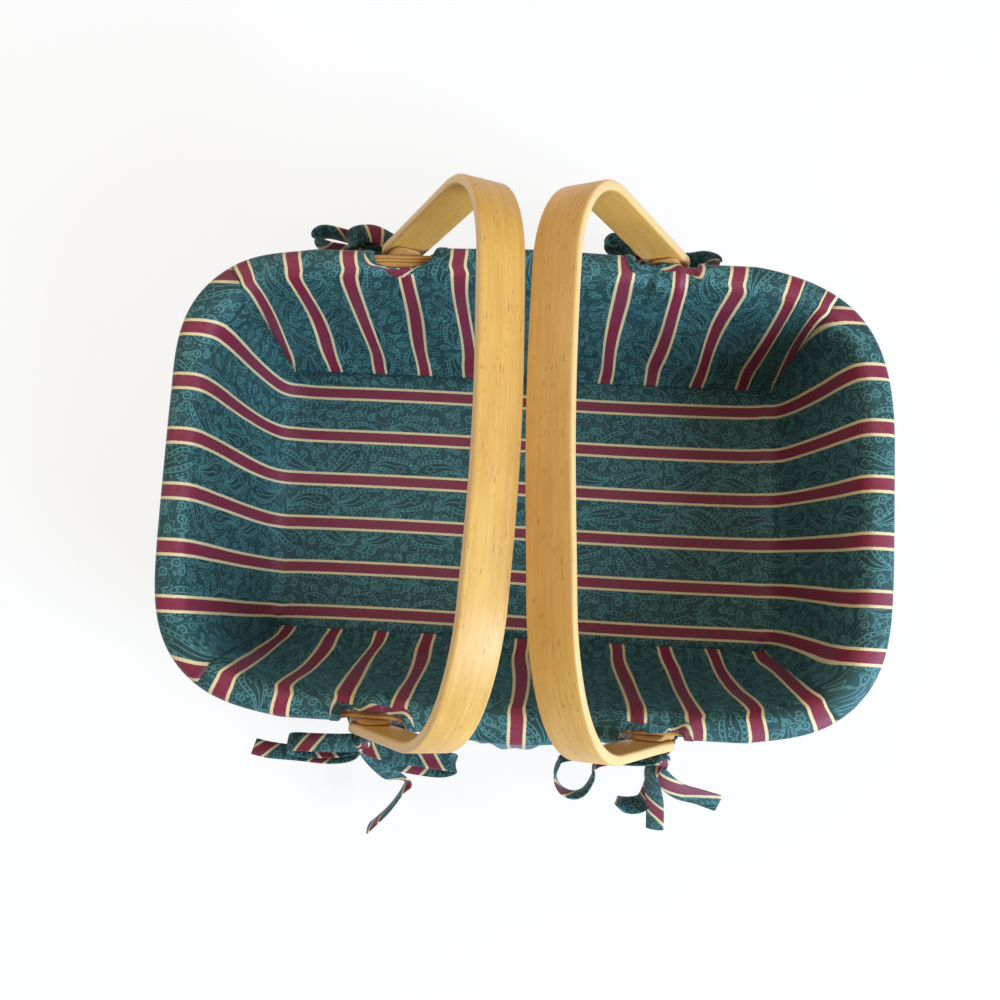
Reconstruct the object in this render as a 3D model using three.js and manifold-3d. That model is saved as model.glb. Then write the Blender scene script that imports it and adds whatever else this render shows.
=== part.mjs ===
// Gathering basket: a rectangular woven splint basket with two bentwood swing handles and a sewn cloth liner
// that is tied on with a bow at each handle ear. Millimetres, +Z up, X along the basket's length.
// The origin is on the floor, under the middle of the basket.
import * as THREE from 'three';
import { mergeVertices } from 'three/addons/utils/BufferGeometryUtils.js';
import Module from 'manifold-3d';

const wasm = await Module();
wasm.setup();

// Basket body
const RIM_LENGTH = 457; // outside of the wooden rim, along X
const RIM_WIDTH = 303; // outside of the wooden rim, along Y
const RIM_SQUARENESS = 4.66; // exponent of the superellipse that the rim follows
const BASKET_HEIGHT = 120; // floor to the top of the wooden rim
const END_FLARE = 34.5; // how far the rim stands out past the floor at each end
const SIDE_FLARE = 41.5; // and at each long side
const TURN_LENGTH = 5; // how far from the turn line a splint starts to bend

// Splints
const STAKE_WIDTH = 22;
const STAKE_THICKNESS = 1.4;
const SIDE_STAKES = 13; // uprights along each long side
const SIDE_SPACES = 13.4; // the floor's length holds this many of their pitches
const END_STAKES = 7; // uprights along each short end
const END_SPACES = 7.6; // the floor's width holds this many of their pitches
const END_FAN = 1.06; // the end uprights spread by this much towards the rim
const WEAVER_ROWS = 5;
const WEAVER_WIDTH = 15;
const WEAVER_THICKNESS = 1.2;
const ROW_GAP = 1.6;
const WEAVE_CLEARANCE = 0.6; // between splints that cross
const EDGE_MARGIN = 0.8; // a splint stays flat this far past the edge of the one that it crosses
const CORNER_STEPS = 2; // stations round each corner between the last uprights
const TWIST_STEP = 0.08; // most that an upright turns, in radians, from one station to the next

// Rim
const RIM_BAND_HEIGHT = 20;
const RIM_BAND_THICKNESS = 2.6;
const RIM_FILLER_HEIGHT = 4;
const RIM_FILLER_THICKNESS = 1.4;
const RIM_CLEARANCE = 0.4; // between the bands and what they hold

// Swing handles
const HANDLE_WIDTH = 26.5;
const HANDLE_THICKNESS = 6.2;
const HANDLE_RISE = 174; // pivot to the outside of the top
const HANDLE_FRONT_BEND = 84; // outside radius of the front bend
const HANDLE_BACK_BEND = 62; // and of the back one, which is tighter
const HANDLE_EDGE = 1.2; // eased edge
const LEFT_HANDLE_WIND = 0; // how far the front of the top stands out of the hoop's plane
const RIGHT_HANDLE_WIND = 6.5;
const HANDLE_REST_GAP = 1; // between the two handles where they lean together
const PIVOT_STAKE = 3; // the handles are riveted through this upright, counted from the middle one
const PIVOT_SHIFT = 3.1; // from the middle of that upright towards the corner
const PIVOT_DROP = 12.5; // below the top of the rim

// Handle ears and rivets
const EAR_WIDTH = 20;
const EAR_THICKNESS = 3.4; // at the top of the rim
const EAR_RISE = 17.5; // past the pivot, along the leg at rest
const EAR_DROP = 17; // the other way from the pivot
const EAR_CORNER = 6;
const SEAT_CLEARANCE = 0.3; // between pieces that bear on each other
const RIVET_RADIUS = 2.5;
const RIVET_HEAD_RADIUS = 6;
const RIVET_HEAD_HEIGHT = 2;
const RIVET_CLINCH_RADIUS = 3.8;
const RIVET_CLINCH_HEIGHT = 0.7;
const HOLE_CLEARANCE = 0.3; // radial, round the rivet

// Cloth liner
const CLOTH = 1.2;
const LINER_BASE_INSET = 12; // the liner's floor is this much smaller than the basket's, each side
const LINER_STANDOFF = 0.3; // past the rivets' clinched ends
const ROLL_DEPTH = 4; // the cloth starts to roll over the rim this far below its top
const ROLL_RISE = 3.5; // top of the roll above the rim
const ROLL_SQUARENESS = 0.6; // 1 is a round roll, less is squarer
const FLAP_DROP = 60; // hem below the rim
const FLAP_BULGE = 6; // furthest that the flap stands off the outer band
const FLAP_HANDLE_CLEARANCE = 1.2; // from the flap to the plane that a handle's leg sweeps
const FLAP_FLARE = 12; // the hem stands out by this much midway between the ears
const FOLD_DEPTH = 5; // of the flap's folds, at the hem
const FOLD_COLUMNS = 4; // stations to each fold
const SEAM_GAP = 0.9; // the panels stop this far from each seam line
const SIDE_COLUMNS = 22; // stations across a side panel
const END_COLUMNS = 12; // stations across the long panel
const NOTCH_DEPTH = 1.5; // below the rim, on the inside
const NOTCH_MARGIN = 3; // past the leg and the ear
const NOTCH_RADIUS = 6;
const SLIT_WIDTH = 4; // of the slit that runs from the notch to the hem

// Ties
const TIE_WIDTH = 12;
const TIE_THICKNESS = 1.6;
const KNOT_RADIUS = 7;
const KNOT_DEPTH = 0.75; // of its radius, from front to back
const KNOT_DROP = 8.3; // from the lower end of the ear to the middle of the knot
const KNOT_REACH = 18; // out from the rim's outside
const LOOP_HEIGHT = 15;
const ROOT_SPREAD = 8; // half the distance between the ties where they are sewn to the flap
const ROOT_SET_BACK = 0.45; // the flap falls back this much where the ties are sewn on, beside the leg
const ROOT_DROP = 6; // below the knot

// The hand-tied bows: tips of the loops and tails, each from the knot along X, outwards and up
const BOWS = {
  front_left: { loops: [[-50, 4, -9], [59, 13, -9]], tails: [[-76, 7, -14], [-2, 67, -59]] },
  front_right: { loops: [[-68, 17, -9], [-20, 33, -29]], tails: [[4, 52, -39], [43, 31, -24]] },
  back_left: { loops: [[-57, 9, -6], [-30, 22, -6]], tails: [[8, 18, -52], [-14, 14, -50]] },
  back_right: { loops: [[-48, 15, -6], [31, 3, -6]], tails: [[10, 18, -52], [-12, 15, -48]] },
};

const RING_SIDES = 10; // facets of a round hole or pin

// Derived sizes
const baseX = RIM_LENGTH / 2 - END_FLARE; // half sizes of the floor, to the lines where the splints turn up
const baseY = RIM_WIDTH / 2 - SIDE_FLARE;
const sidePitch = (2 * baseX) / SIDE_SPACES;
const endPitch = (2 * baseY) / END_SPACES;
const weaveOffset = STAKE_THICKNESS / 2 + WEAVER_THICKNESS / 2 + WEAVE_CLEARANCE;
const floorOffset = STAKE_THICKNESS + WEAVE_CLEARANCE;
const floorMiddle = floorOffset + STAKE_THICKNESS / 2; // middle of the flat splints of the floor
const floorTop = floorMiddle + floorOffset + STAKE_THICKNESS / 2;
const wallRise = BASKET_HEIGHT - floorMiddle;
const sideSlope = Math.atan2(SIDE_FLARE, wallRise);
const stakeHalf = STAKE_THICKNESS / 2 / Math.cos(sideSlope); // measured level, on the leaning wall
const bandInner = stakeHalf + RIM_CLEARANCE; // level distance from the splints' middle to a rim band
const bandOuter = bandInner + RIM_BAND_THICKNESS;
const rimX = RIM_LENGTH / 2 - bandOuter; // half sizes of the rim at the middle of the splints
const rimY = RIM_WIDTH / 2 - bandOuter;
const pivotX = PIVOT_STAKE * sidePitch + PIVOT_SHIFT;
const pivotZ = BASKET_HEIGHT - PIVOT_DROP;
const stakeTop = BASKET_HEIGHT - RIM_FILLER_HEIGHT - SEAT_CLEARANCE;
const rimBandLow = BASKET_HEIGHT - RIM_BAND_HEIGHT;
const sideReach = ((SIDE_STAKES - 1) / 2) * sidePitch + STAKE_WIDTH / 2 + EDGE_MARGIN;
const endReach = ((END_STAKES - 1) / 2) * endPitch + STAKE_WIDTH / 2 + EDGE_MARGIN;

const V2 = (x, y) => new THREE.Vector2(x, y);
const V3 = (x, y, z) => new THREE.Vector3(x, y, z);
const mix = (a, b, t) => a + (b - a) * t;
const squared = (share) => Math.pow(Math.max(0, 1 - Math.pow(Math.abs(share), RIM_SQUARENESS)), 1 / RIM_SQUARENESS);
const rimYAt = (x) => rimY * squared(x / rimX);
const rimXAt = (y) => rimX * squared(y / rimY);

// Outside of the rim at the pivots, from which the ears and the handles take their places
const rimFaceY = rimYAt(pivotX) + bandOuter;
const earFaceY = rimFaceY + EAR_THICKNESS;
const handleInnerY = earFaceY + SEAT_CLEARANCE;
const handleOuterY = handleInnerY + HANDLE_THICKNESS;
const restLean =
  Math.asin((pivotX - HANDLE_REST_GAP / 2) / Math.hypot(HANDLE_RISE, HANDLE_WIDTH / 2)) -
  Math.atan2(HANDLE_WIDTH / 2, HANDLE_RISE);

// Lower end of an ear, which leans as the handle does at rest
const earEndX = pivotX + EAR_DROP * Math.sin(restLean);
const earEndZ = pivotZ - EAR_DROP * Math.cos(restLean);

// Solids and meshes

// A closed geometry from points and triangles, turned so that its faces point out.
function closedGeometry(points, triangles) {
  let volume = 0;
  for (const [a, b, c] of triangles) volume += points[a].dot(V3().crossVectors(points[b], points[c]));
  const index = triangles.flatMap(([a, b, c]) => (volume > 0 ? [a, b, c] : [a, c, b]));
  return new THREE.BufferGeometry().setFromPoints(points).setIndex(index);
}

// A skin over sections that all have the same number of corners: a ring if it closes, else capped at both ends.
// The facets of an open skin are split the other way from a ring's, so twisted faces that meet stay parallel.
function loft(sections, ring) {
  const corners = sections[0].length;
  const spans = ring ? sections.length : sections.length - 1;
  const triangles = [];
  for (let i = 0; i < spans; i++) {
    const here = i * corners;
    const next = ((i + 1) % sections.length) * corners;
    for (let k = 0; k < corners; k++) {
      const along = (k + 1) % corners;
      if (ring) triangles.push([here + k, next + k, next + along], [here + k, next + along, here + along]);
      else triangles.push([here + k, next + k, here + along], [next + k, next + along, here + along]);
    }
  }
  if (!ring) {
    const last = (sections.length - 1) * corners;
    for (let k = 1; k + 1 < corners; k++) {
      triangles.push([0, k, k + 1], [last, last + k + 1, last + k]);
    }
  }
  return closedGeometry(sections.flat(), triangles);
}

// A sheet of the given thickness whose middle passes through a grid of points.
function sheetSolid(grid, thickness) {
  const rows = grid.length;
  const columns = grid[0].length;
  const normalAt = (i, j) => {
    const along = V3().subVectors(grid[Math.min(i + 1, rows - 1)][j], grid[Math.max(i - 1, 0)][j]);
    const across = V3().subVectors(grid[i][Math.min(j + 1, columns - 1)], grid[i][Math.max(j - 1, 0)]);
    return along.cross(across).normalize();
  };
  const points = [];
  for (const side of [0.5, -0.5]) {
    grid.forEach((row, i) => {
      row.forEach((p, j) => points.push(p.clone().addScaledVector(normalAt(i, j), side * thickness)));
    });
  }
  const top = (i, j) => i * columns + j;
  const under = (i, j) => rows * columns + top(i, j);
  const triangles = [];
  const quad = (a, b, c, d) => triangles.push([a, b, c], [a, c, d]);
  for (let i = 0; i + 1 < rows; i++) {
    for (let j = 0; j + 1 < columns; j++) {
      quad(top(i, j), top(i + 1, j), top(i + 1, j + 1), top(i, j + 1));
      quad(under(i, j), under(i, j + 1), under(i + 1, j + 1), under(i + 1, j));
    }
    quad(top(i, 0), under(i, 0), under(i + 1, 0), top(i + 1, 0));
    quad(top(i, columns - 1), top(i + 1, columns - 1), under(i + 1, columns - 1), under(i, columns - 1));
  }
  for (let j = 0; j + 1 < columns; j++) {
    quad(top(0, j), top(0, j + 1), under(0, j + 1), under(0, j));
    quad(top(rows - 1, j), under(rows - 1, j), under(rows - 1, j + 1), top(rows - 1, j + 1));
  }
  return closedGeometry(points, triangles);
}

function toSolid(geometry) {
  const bare = new THREE.BufferGeometry().setAttribute('position', geometry.getAttribute('position'));
  if (geometry.index) bare.setIndex(geometry.index);
  const merged = mergeVertices(bare, 1e-4);
  return new wasm.Manifold(
    new wasm.Mesh({
      numProp: 3,
      vertProperties: new Float32Array(merged.getAttribute('position').array),
      triVerts: new Uint32Array(merged.index.array),
    }),
  );
}

function toGeometry(solid) {
  const mesh = solid.getMesh();
  return new THREE.BufferGeometry()
    .setAttribute('position', new THREE.BufferAttribute(mesh.vertProperties, 3))
    .setIndex(new THREE.BufferAttribute(mesh.triVerts, 1));
}

// geometry with each of the tools cut away
const cut = (geometry, ...tools) =>
  toGeometry(tools.reduce((solid, tool) => solid.subtract(toSolid(tool)), toSolid(geometry)));

// A round bar along Y between two places.
function barAlongY(radius, from, to, x, z) {
  return new THREE.CylinderGeometry(radius, radius, to - from, RING_SIDES).translate(x, (from + to) / 2, z);
}

// An outline in X and Z, extruded along Y between two places.
function slabAlongY(shape, from, to) {
  return new THREE.ExtrudeGeometry(shape, { depth: to - from, bevelEnabled: false, curveSegments: RING_SIDES / 2 })
    .applyMatrix4(new THREE.Matrix4().makeBasis(V3(1, 0, 0), V3(0, 0, 1), V3(0, -1, 0)))
    .translate(0, to, 0);
}

const wood = (color, roughness) => new THREE.MeshStandardMaterial({ color, roughness, metalness: 0 });
const materials = {
  splint: wood(0xb98a4e, 0.6),
  rim: wood(0xb5823f, 0.5),
  handle: wood(0xcf9f55, 0.42),
  ear: wood(0xb88545, 0.5),
  rivet: new THREE.MeshStandardMaterial({ color: 0xb08a50, roughness: 0.35, metalness: 1 }),
  liner: wood(0x1f4645, 0.55),
  tie: wood(0x24504f, 0.55),
};

const basket = new THREE.Group();
function add(parent, name, geometry, material) {
  const mesh = new THREE.Mesh(geometry, material);
  mesh.name = name;
  parent.add(mesh);
  return mesh;
}

// The wall: each station joins a point of the floor's outline to a point of the rim by a straight line.

const sideStation = (x, front) => ({ base: V2(x, front * baseY), rim: V2(x, front * rimYAt(x)) });
const endStation = (y, right) => ({ base: V2(right * baseX, y), rim: V2(right * rimXAt(y * END_FAN), y * END_FAN) });

// Station round a corner, from the end of a side at turn 0 to the end of an end at turn 1.
function cornerStation(turn, right, front) {
  const quarter = (turn * Math.PI) / 2;
  const sideAngle = Math.atan2(rimYAt(sideReach) / rimY, sideReach / rimX);
  const endAngle = Math.atan2((endReach * END_FAN) / rimY, rimXAt(endReach * END_FAN) / rimX);
  const angle = mix(sideAngle, endAngle, turn);
  const reach = Math.pow(
    Math.pow(Math.cos(angle), RIM_SQUARENESS) + Math.pow(Math.sin(angle), RIM_SQUARENESS),
    -1 / RIM_SQUARENESS,
  );
  return {
    base: V2(
      right * mix(sideReach, baseX, Math.sin(quarter)),
      front * mix(endReach, baseY, Math.cos(quarter)),
    ),
    rim: V2(right * rimX * reach * Math.cos(angle), front * rimY * reach * Math.sin(angle)),
  };
}

// Middle of the wall at a station and a height.
function wallPoint(station, z) {
  const p = station.base.clone().lerp(station.rim, (z - floorMiddle) / wallRise);
  return V3(p.x, p.y, z);
}

// An upright's middle, half width and outward normal at a height. left and right are its two edges' stations.
function uprightFrame(left, right, z) {
  const a = wallPoint(left, z);
  const b = wallPoint(right, z);
  const up = wallPoint(left, z + 1).add(wallPoint(right, z + 1)).sub(a).sub(b).normalize();
  const across = V3().subVectors(b, a).normalize();
  return {
    middle: a.add(b).multiplyScalar(0.5),
    across,
    out: V3().crossVectors(across, up).normalize(),
  };
}

// The uprights in order round the basket: along the front, up the right end, back along the rear, down the left end.
function countFromMiddle(count) {
  return Array.from({ length: count }, (_, i) => i - (count - 1) / 2);
}
function uprightsOf(side) {
  const half = STAKE_WIDTH / 2;
  if (side === 'front' || side === 'back') {
    const front = side === 'front' ? -1 : 1;
    return countFromMiddle(SIDE_STAKES).map((n) => {
      const x = -front * n * sidePitch;
      return { left: sideStation(x + front * half, front), right: sideStation(x - front * half, front) };
    });
  }
  const right = side === 'right' ? 1 : -1;
  return countFromMiddle(END_STAKES).map((n) => {
    const y = right * n * endPitch;
    return { left: endStation(y - right * half, right), right: endStation(y + right * half, right) };
  });
}

// Round the basket: two stations at each upright's edges and the corner stations, with the upright's number.
function stationsRound() {
  const stations = [];
  let number = 0;
  for (const [side, right, front, fromSide] of [
    ['front', 1, -1, true],
    ['right', 1, 1, false],
    ['back', -1, 1, true],
    ['left', -1, -1, false],
  ]) {
    for (const upright of uprightsOf(side)) {
      stations.push({ upright, edge: -1, number }, { upright, edge: 1, number });
      number += 1;
    }
    for (let step = 1; step <= CORNER_STEPS; step++) {
      const turn = step / (CORNER_STEPS + 1);
      stations.push({ corner: cornerStation(fromSide ? turn : 1 - turn, right, front) });
    }
  }
  return stations;
}
const round = stationsRound();

// Outward level direction of the wall at a corner station.
function cornerOut(index, z) {
  const pointOf = ({ corner, upright, edge }) => wallPoint(corner || (edge < 0 ? upright.left : upright.right), z);
  const before = pointOf(round[(index + round.length - 1) % round.length]);
  const after = pointOf(round[(index + 1) % round.length]);
  const along = after.sub(before).setZ(0).normalize();
  return V3(along.y, -along.x, 0);
}

// A level band round the basket between two heights, from one level distance off the wall's middle to another.
function bandRound(low, high, inner, outer) {
  const sections = round.map((station, index) => {
    const at = (z, offset) => {
      if (station.corner) return wallPoint(station.corner, z).addScaledVector(cornerOut(index, z), offset);
      const { left, right } = station.upright;
      const { across } = uprightFrame(left, right, z);
      const out = V3(across.y, -across.x, 0).normalize();
      return wallPoint(station.edge < 0 ? left : right, z).addScaledVector(out, offset);
    };
    return [at(low, inner), at(low, outer), at(high, outer), at(high, inner)];
  });
  return loft(sections, true);
}

// A weaver: inside and outside the uprights by turns, flat where it crosses one.
function weaver(row) {
  const lean = Math.cos(sideSlope);
  const high = rimBandLow - (ROW_GAP + row * (WEAVER_WIDTH + ROW_GAP)) * lean;
  const low = high - WEAVER_WIDTH * lean;
  const sections = round.map((station, index) => {
    const at = (z, through) => {
      if (station.corner) return wallPoint(station.corner, z).addScaledVector(cornerOut(index, z), through);
      const { middle, across, out } = uprightFrame(station.upright.left, station.upright.right, z);
      const side = (station.number + row) % 2 ? -1 : 1;
      return middle
        .addScaledVector(across, station.edge * (STAKE_WIDTH / 2 + EDGE_MARGIN))
        .addScaledVector(out, side * weaveOffset + through);
    };
    const half = WEAVER_THICKNESS / 2;
    return [at(low, -half), at(low, half), at(high, half), at(high, -half)];
  });
  return loft(sections, true);
}

// Rectangular sections of a splint along a path of { middle, across, out }.
const splintSection = ({ middle, across, out }) =>
  [[-1, -1], [1, -1], [1, 1], [-1, 1]].map(([w, t]) =>
    middle
      .clone()
      .addScaledVector(across, (w * STAKE_WIDTH) / 2)
      .addScaledVector(out, (t * STAKE_THICKNESS) / 2),
  );

// One upright from the turn at the floor to the rim, with the turn itself as a short curve.
function uprightPath(upright, inward) {
  const foot = uprightFrame(upright.left, upright.right, floorMiddle);
  const turn = [];
  const steps = 3;
  const wallStart = uprightFrame(upright.left, upright.right, floorMiddle + TURN_LENGTH);
  const floorEnd = foot.middle.clone().addScaledVector(inward, TURN_LENGTH);
  for (let i = 0; i < steps; i++) {
    const t = i / steps;
    const middle = floorEnd
      .clone()
      .multiplyScalar((1 - t) ** 2)
      .addScaledVector(foot.middle, 2 * t * (1 - t))
      .addScaledVector(wallStart.middle, t * t);
    const along = V3()
      .subVectors(foot.middle, floorEnd)
      .multiplyScalar(1 - t)
      .addScaledVector(V3().subVectors(wallStart.middle, foot.middle), t);
    const level = V3(inward.y, -inward.x, 0);
    const across = level.multiplyScalar(Math.sign(level.dot(wallStart.across))).lerp(wallStart.across, t).normalize();
    turn.push({ middle, across, out: V3().crossVectors(across, along).normalize() });
  }
  const twist = wallStart.across.angleTo(uprightFrame(upright.left, upright.right, rimBandLow).across);
  const wallSteps = 1 + Math.floor(twist / TWIST_STEP);
  const wall = Array.from({ length: wallSteps }, (_, i) => {
    const z = mix(floorMiddle + TURN_LENGTH, rimBandLow, (i + 1) / wallSteps);
    return uprightFrame(upright.left, upright.right, z);
  });
  return [...turn, wallStart, ...wall, uprightFrame(upright.left, upright.right, stakeTop)];
}

// A splint that runs up one wall, across the floor and up the opposite wall.
function stake(first, second, floorPath) {
  const inwardOf = (from, to) => {
    const a = uprightFrame(from.left, from.right, floorMiddle).middle;
    const b = uprightFrame(to.left, to.right, floorMiddle).middle;
    return b.sub(a).normalize();
  };
  const rise = uprightPath(first, inwardOf(first, second)).reverse();
  const climb = uprightPath(second, inwardOf(second, first));
  const flip = (frame) => ({ ...frame, across: frame.across.clone().negate() });
  return loft([...rise, ...floorPath, ...climb.map(flip)].map(splintSection), false);
}

// Rivet holes for the pieces that the handles are riveted through
const rivetHoles = [-1, 1].map((side) =>
  barAlongY(RIVET_RADIUS + HOLE_CLEARANCE, -RIM_WIDTH, RIM_WIDTH, side * pivotX, pivotZ),
);

// Splints across the basket, woven under and over the long ones
const frontUprights = uprightsOf('front');
const backUprights = uprightsOf('back');
countFromMiddle(SIDE_STAKES).forEach((n, i) => {
  const floorPath = countFromMiddle(END_STAKES).flatMap((m) => {
    const under = (n + m) % 2 === 0 ? -1 : 1;
    const flat = STAKE_WIDTH / 2 + EDGE_MARGIN;
    return [-flat, flat].map((edge) => ({
      middle: V3(n * sidePitch, m * endPitch + edge, floorMiddle + under * floorOffset),
      across: V3(1, 0, 0),
      out: V3(0, 0, -1),
    }));
  });
  const plain = stake(frontUprights[i], backUprights[SIDE_STAKES - 1 - i], floorPath);
  const geometry = Math.abs(n) === PIVOT_STAKE ? cut(plain, rivetHoles[n < 0 ? 0 : 1]) : plain;
  add(basket, `cross_splint_${i + 1}`, geometry, materials.splint);
});

// Splints along the basket, flat on its floor
const rightUprights = uprightsOf('right');
const leftUprights = uprightsOf('left');
countFromMiddle(END_STAKES).forEach((n, i) => {
  const geometry = stake(leftUprights[END_STAKES - 1 - i], rightUprights[i], []);
  add(basket, `long_splint_${i + 1}`, geometry, materials.splint);
});

for (let row = 0; row < WEAVER_ROWS; row++) {
  add(basket, `weaver_${row + 1}`, weaver(row), materials.splint);
}

// Rim: two bands with the ends of the uprights and a filler strip between them
const rimBands = {
  outer: bandRound(rimBandLow, BASKET_HEIGHT, bandInner, bandOuter),
  inner: bandRound(rimBandLow, BASKET_HEIGHT, -bandOuter, -bandInner),
};
add(basket, 'outer_rim_band', cut(rimBands.outer, ...rivetHoles), materials.rim);
add(basket, 'inner_rim_band', cut(rimBands.inner, ...rivetHoles), materials.rim);
add(
  basket,
  'rim_filler_strip',
  bandRound(BASKET_HEIGHT - RIM_FILLER_HEIGHT, BASKET_HEIGHT, -RIM_FILLER_THICKNESS / 2, RIM_FILLER_THICKNESS / 2),
  materials.rim,
);

// Swing handles: a hoop of bent strip with rounded ends, bored for the rivets.

// The front corner of a hoop that isn't quite flat stands out sideways. Its ends stay true.
function windHoop(hoop, wind) {
  const points = hoop.getAttribute('position');
  for (let i = 0; i < points.count; i++) {
    const up = Math.max(0, points.getZ(i) - HANDLE_WIDTH) / (HANDLE_RISE - HANDLE_WIDTH);
    const forward = (handleOuterY - points.getY(i)) / (2 * handleOuterY);
    points.setX(i, points.getX(i) + wind * up * forward);
  }
  return hoop;
}

function handleHoop() {
  const half = HANDLE_WIDTH / 2;
  const hoop = new THREE.Shape();
  const bend = (radius, inset, from, to) => {
    const end = to > Math.PI / 2 || from > Math.PI / 2 ? -1 : 1;
    hoop.absarc(end * (handleOuterY - radius), HANDLE_RISE - radius, radius - inset, from, to, to < from);
  };
  hoop.moveTo(handleOuterY, -half);
  bend(HANDLE_BACK_BEND, 0, 0, Math.PI / 2);
  bend(HANDLE_FRONT_BEND, 0, Math.PI / 2, Math.PI);
  hoop.lineTo(-handleOuterY, -half);
  hoop.lineTo(-handleInnerY, -half);
  bend(HANDLE_FRONT_BEND, HANDLE_THICKNESS, Math.PI, Math.PI / 2);
  bend(HANDLE_BACK_BEND, HANDLE_THICKNESS, Math.PI / 2, 0);
  hoop.lineTo(handleInnerY, -half);
  const strip = new THREE.ExtrudeGeometry(hoop, {
    depth: HANDLE_WIDTH - 2 * HANDLE_EDGE,
    curveSegments: 7,
    bevelThickness: HANDLE_EDGE,
    bevelSize: HANDLE_EDGE,
    bevelOffset: -HANDLE_EDGE,
    bevelSegments: 1,
  })
    .translate(0, 0, HANDLE_EDGE - half)
    .applyMatrix4(new THREE.Matrix4().makeBasis(V3(0, 1, 0), V3(0, 0, 1), V3(1, 0, 0)));
  const roundEnd = new THREE.Shape();
  const beyond = half + HANDLE_EDGE;
  roundEnd.moveTo(beyond, 0);
  roundEnd.lineTo(beyond, HANDLE_RISE + HANDLE_EDGE);
  roundEnd.lineTo(-beyond, HANDLE_RISE + HANDLE_EDGE);
  roundEnd.lineTo(-beyond, 0);
  roundEnd.absarc(0, 0, half - HANDLE_EDGE / 4, Math.PI, 2 * Math.PI);
  const hole = barAlongY(RIVET_RADIUS + HOLE_CLEARANCE, -RIM_WIDTH, RIM_WIDTH, 0, 0);
  const trimmed = toSolid(strip).intersect(toSolid(slabAlongY(roundEnd, -RIM_WIDTH, RIM_WIDTH)));
  return toGeometry(trimmed.subtract(toSolid(hole)));
}

for (const [name, side, wind] of [['left', -1, LEFT_HANDLE_WIND], ['right', 1, RIGHT_HANDLE_WIND]]) {
  const pivot = new THREE.Group();
  pivot.position.set(side * pivotX, 0, pivotZ);
  pivot.rotation.y = -side * restLean;
  basket.add(pivot);
  add(pivot, `${name}_handle`, windHoop(handleHoop(), side * wind), materials.handle);
}

// Handle ears: a bar with rounded corners between the leaning rim and the upright handle, in line with the leg at rest.

function earBlock() {
  const half = EAR_WIDTH / 2;
  const corner = EAR_CORNER;
  const bar = new THREE.Shape();
  bar.moveTo(half, corner - EAR_DROP);
  bar.absarc(half - corner, EAR_RISE - corner, corner, 0, Math.PI / 2);
  bar.absarc(corner - half, EAR_RISE - corner, corner, Math.PI / 2, Math.PI);
  bar.absarc(corner - half, corner - EAR_DROP, corner, Math.PI, Math.PI * 1.5);
  bar.absarc(half - corner, corner - EAR_DROP, corner, Math.PI * 1.5, Math.PI * 2);
  const block = slabAlongY(bar, rimY / 2, earFaceY).rotateY(-restLean).translate(pivotX, 0, pivotZ);
  const beyond = EAR_RISE + EAR_DROP;
  const wall = bandRound(pivotZ - beyond, pivotZ + beyond, -rimY, bandOuter + SEAT_CLEARANCE);
  const hole = barAlongY(RIVET_RADIUS + HOLE_CLEARANCE, 0, RIM_WIDTH, pivotX, pivotZ);
  return { block, wall, hole };
}

function handleEar() {
  const { block, wall, hole } = earBlock();
  const pieces = toSolid(block).subtract(toSolid(wall)).subtract(toSolid(hole)).decompose();
  return toGeometry(pieces.reduce((a, b) => (a.volume() > b.volume() ? a : b)));
}

// A rivet: domed head outside the handle, shank, and an end clinched on the inner band.
function handleRivet() {
  const out = handleOuterY + SEAT_CLEARANCE;
  const innerFace = mix(baseY, rimYAt(pivotX), (pivotZ - floorMiddle) / wallRise) - bandOuter - SEAT_CLEARANCE;
  const slack = RIVET_CLINCH_RADIUS * Math.tan(sideSlope);
  const profile = [
    V2(0, innerFace - RIVET_CLINCH_HEIGHT - slack),
    V2(RIVET_CLINCH_RADIUS * 0.7, innerFace - RIVET_CLINCH_HEIGHT - slack),
    V2(RIVET_CLINCH_RADIUS, innerFace - slack),
    V2(RIVET_CLINCH_RADIUS, innerFace + slack),
    V2(RIVET_RADIUS, innerFace + slack),
    V2(RIVET_RADIUS, out),
    V2(RIVET_HEAD_RADIUS, out),
    V2(RIVET_HEAD_RADIUS * 0.75, out + RIVET_HEAD_HEIGHT * 0.7),
    V2(0, out + RIVET_HEAD_HEIGHT),
  ];
  const turned = new THREE.LatheGeometry(profile, RING_SIDES).translate(pivotX, 0, pivotZ);
  const wall = bandRound(pivotZ - EAR_DROP - EAR_RISE, BASKET_HEIGHT, -bandOuter - SEAT_CLEARANCE, bandOuter);
  return cut(turned, cut(wall, ...rivetHoles));
}

// Ties: a bow of flat cloth tape, tied below each ear. Its own frame has X along the basket and Y outwards.

// Point of a loop's teardrop outline, by share of the way round it, drawn in by some thickness.
function dropPoint(share, length, inset) {
  const tip = length - inset;
  const tall = LOOP_HEIGHT / 2 - inset;
  const t = share < 0.5 ? 2 * share : 2 - 2 * share;
  const early = 3 * t * (1 - t) ** 2;
  const late = 3 * t * t * (1 - t);
  const x = (1 - t) ** 3 * inset + early * length * 0.3 + late * tip + t ** 3 * tip;
  const y = (early * 1.2 + late * 1.5) * tall;
  return V2(x, share < 0.5 ? y : -y);
}

// A loop stands on edge: its tape is upright all the way round.
function bowLoop(tip) {
  const steps = 8;
  const half = TIE_WIDTH / 2;
  const sections = Array.from({ length: steps }, (_, i) => {
    const outer = dropPoint(i / steps, tip.length(), 0);
    const inner = dropPoint(i / steps, tip.length(), TIE_THICKNESS);
    return [[outer, -half], [outer, half], [inner, half], [inner, -half]].map(([p, z]) => V3(p.x, p.y, z));
  });
  const along = tip.clone().normalize();
  const aside = V3(-along.y, along.x, 0).normalize();
  return loft(sections, true).applyMatrix4(new THREE.Matrix4().makeBasis(along, aside, along.clone().cross(aside)));
}

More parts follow.
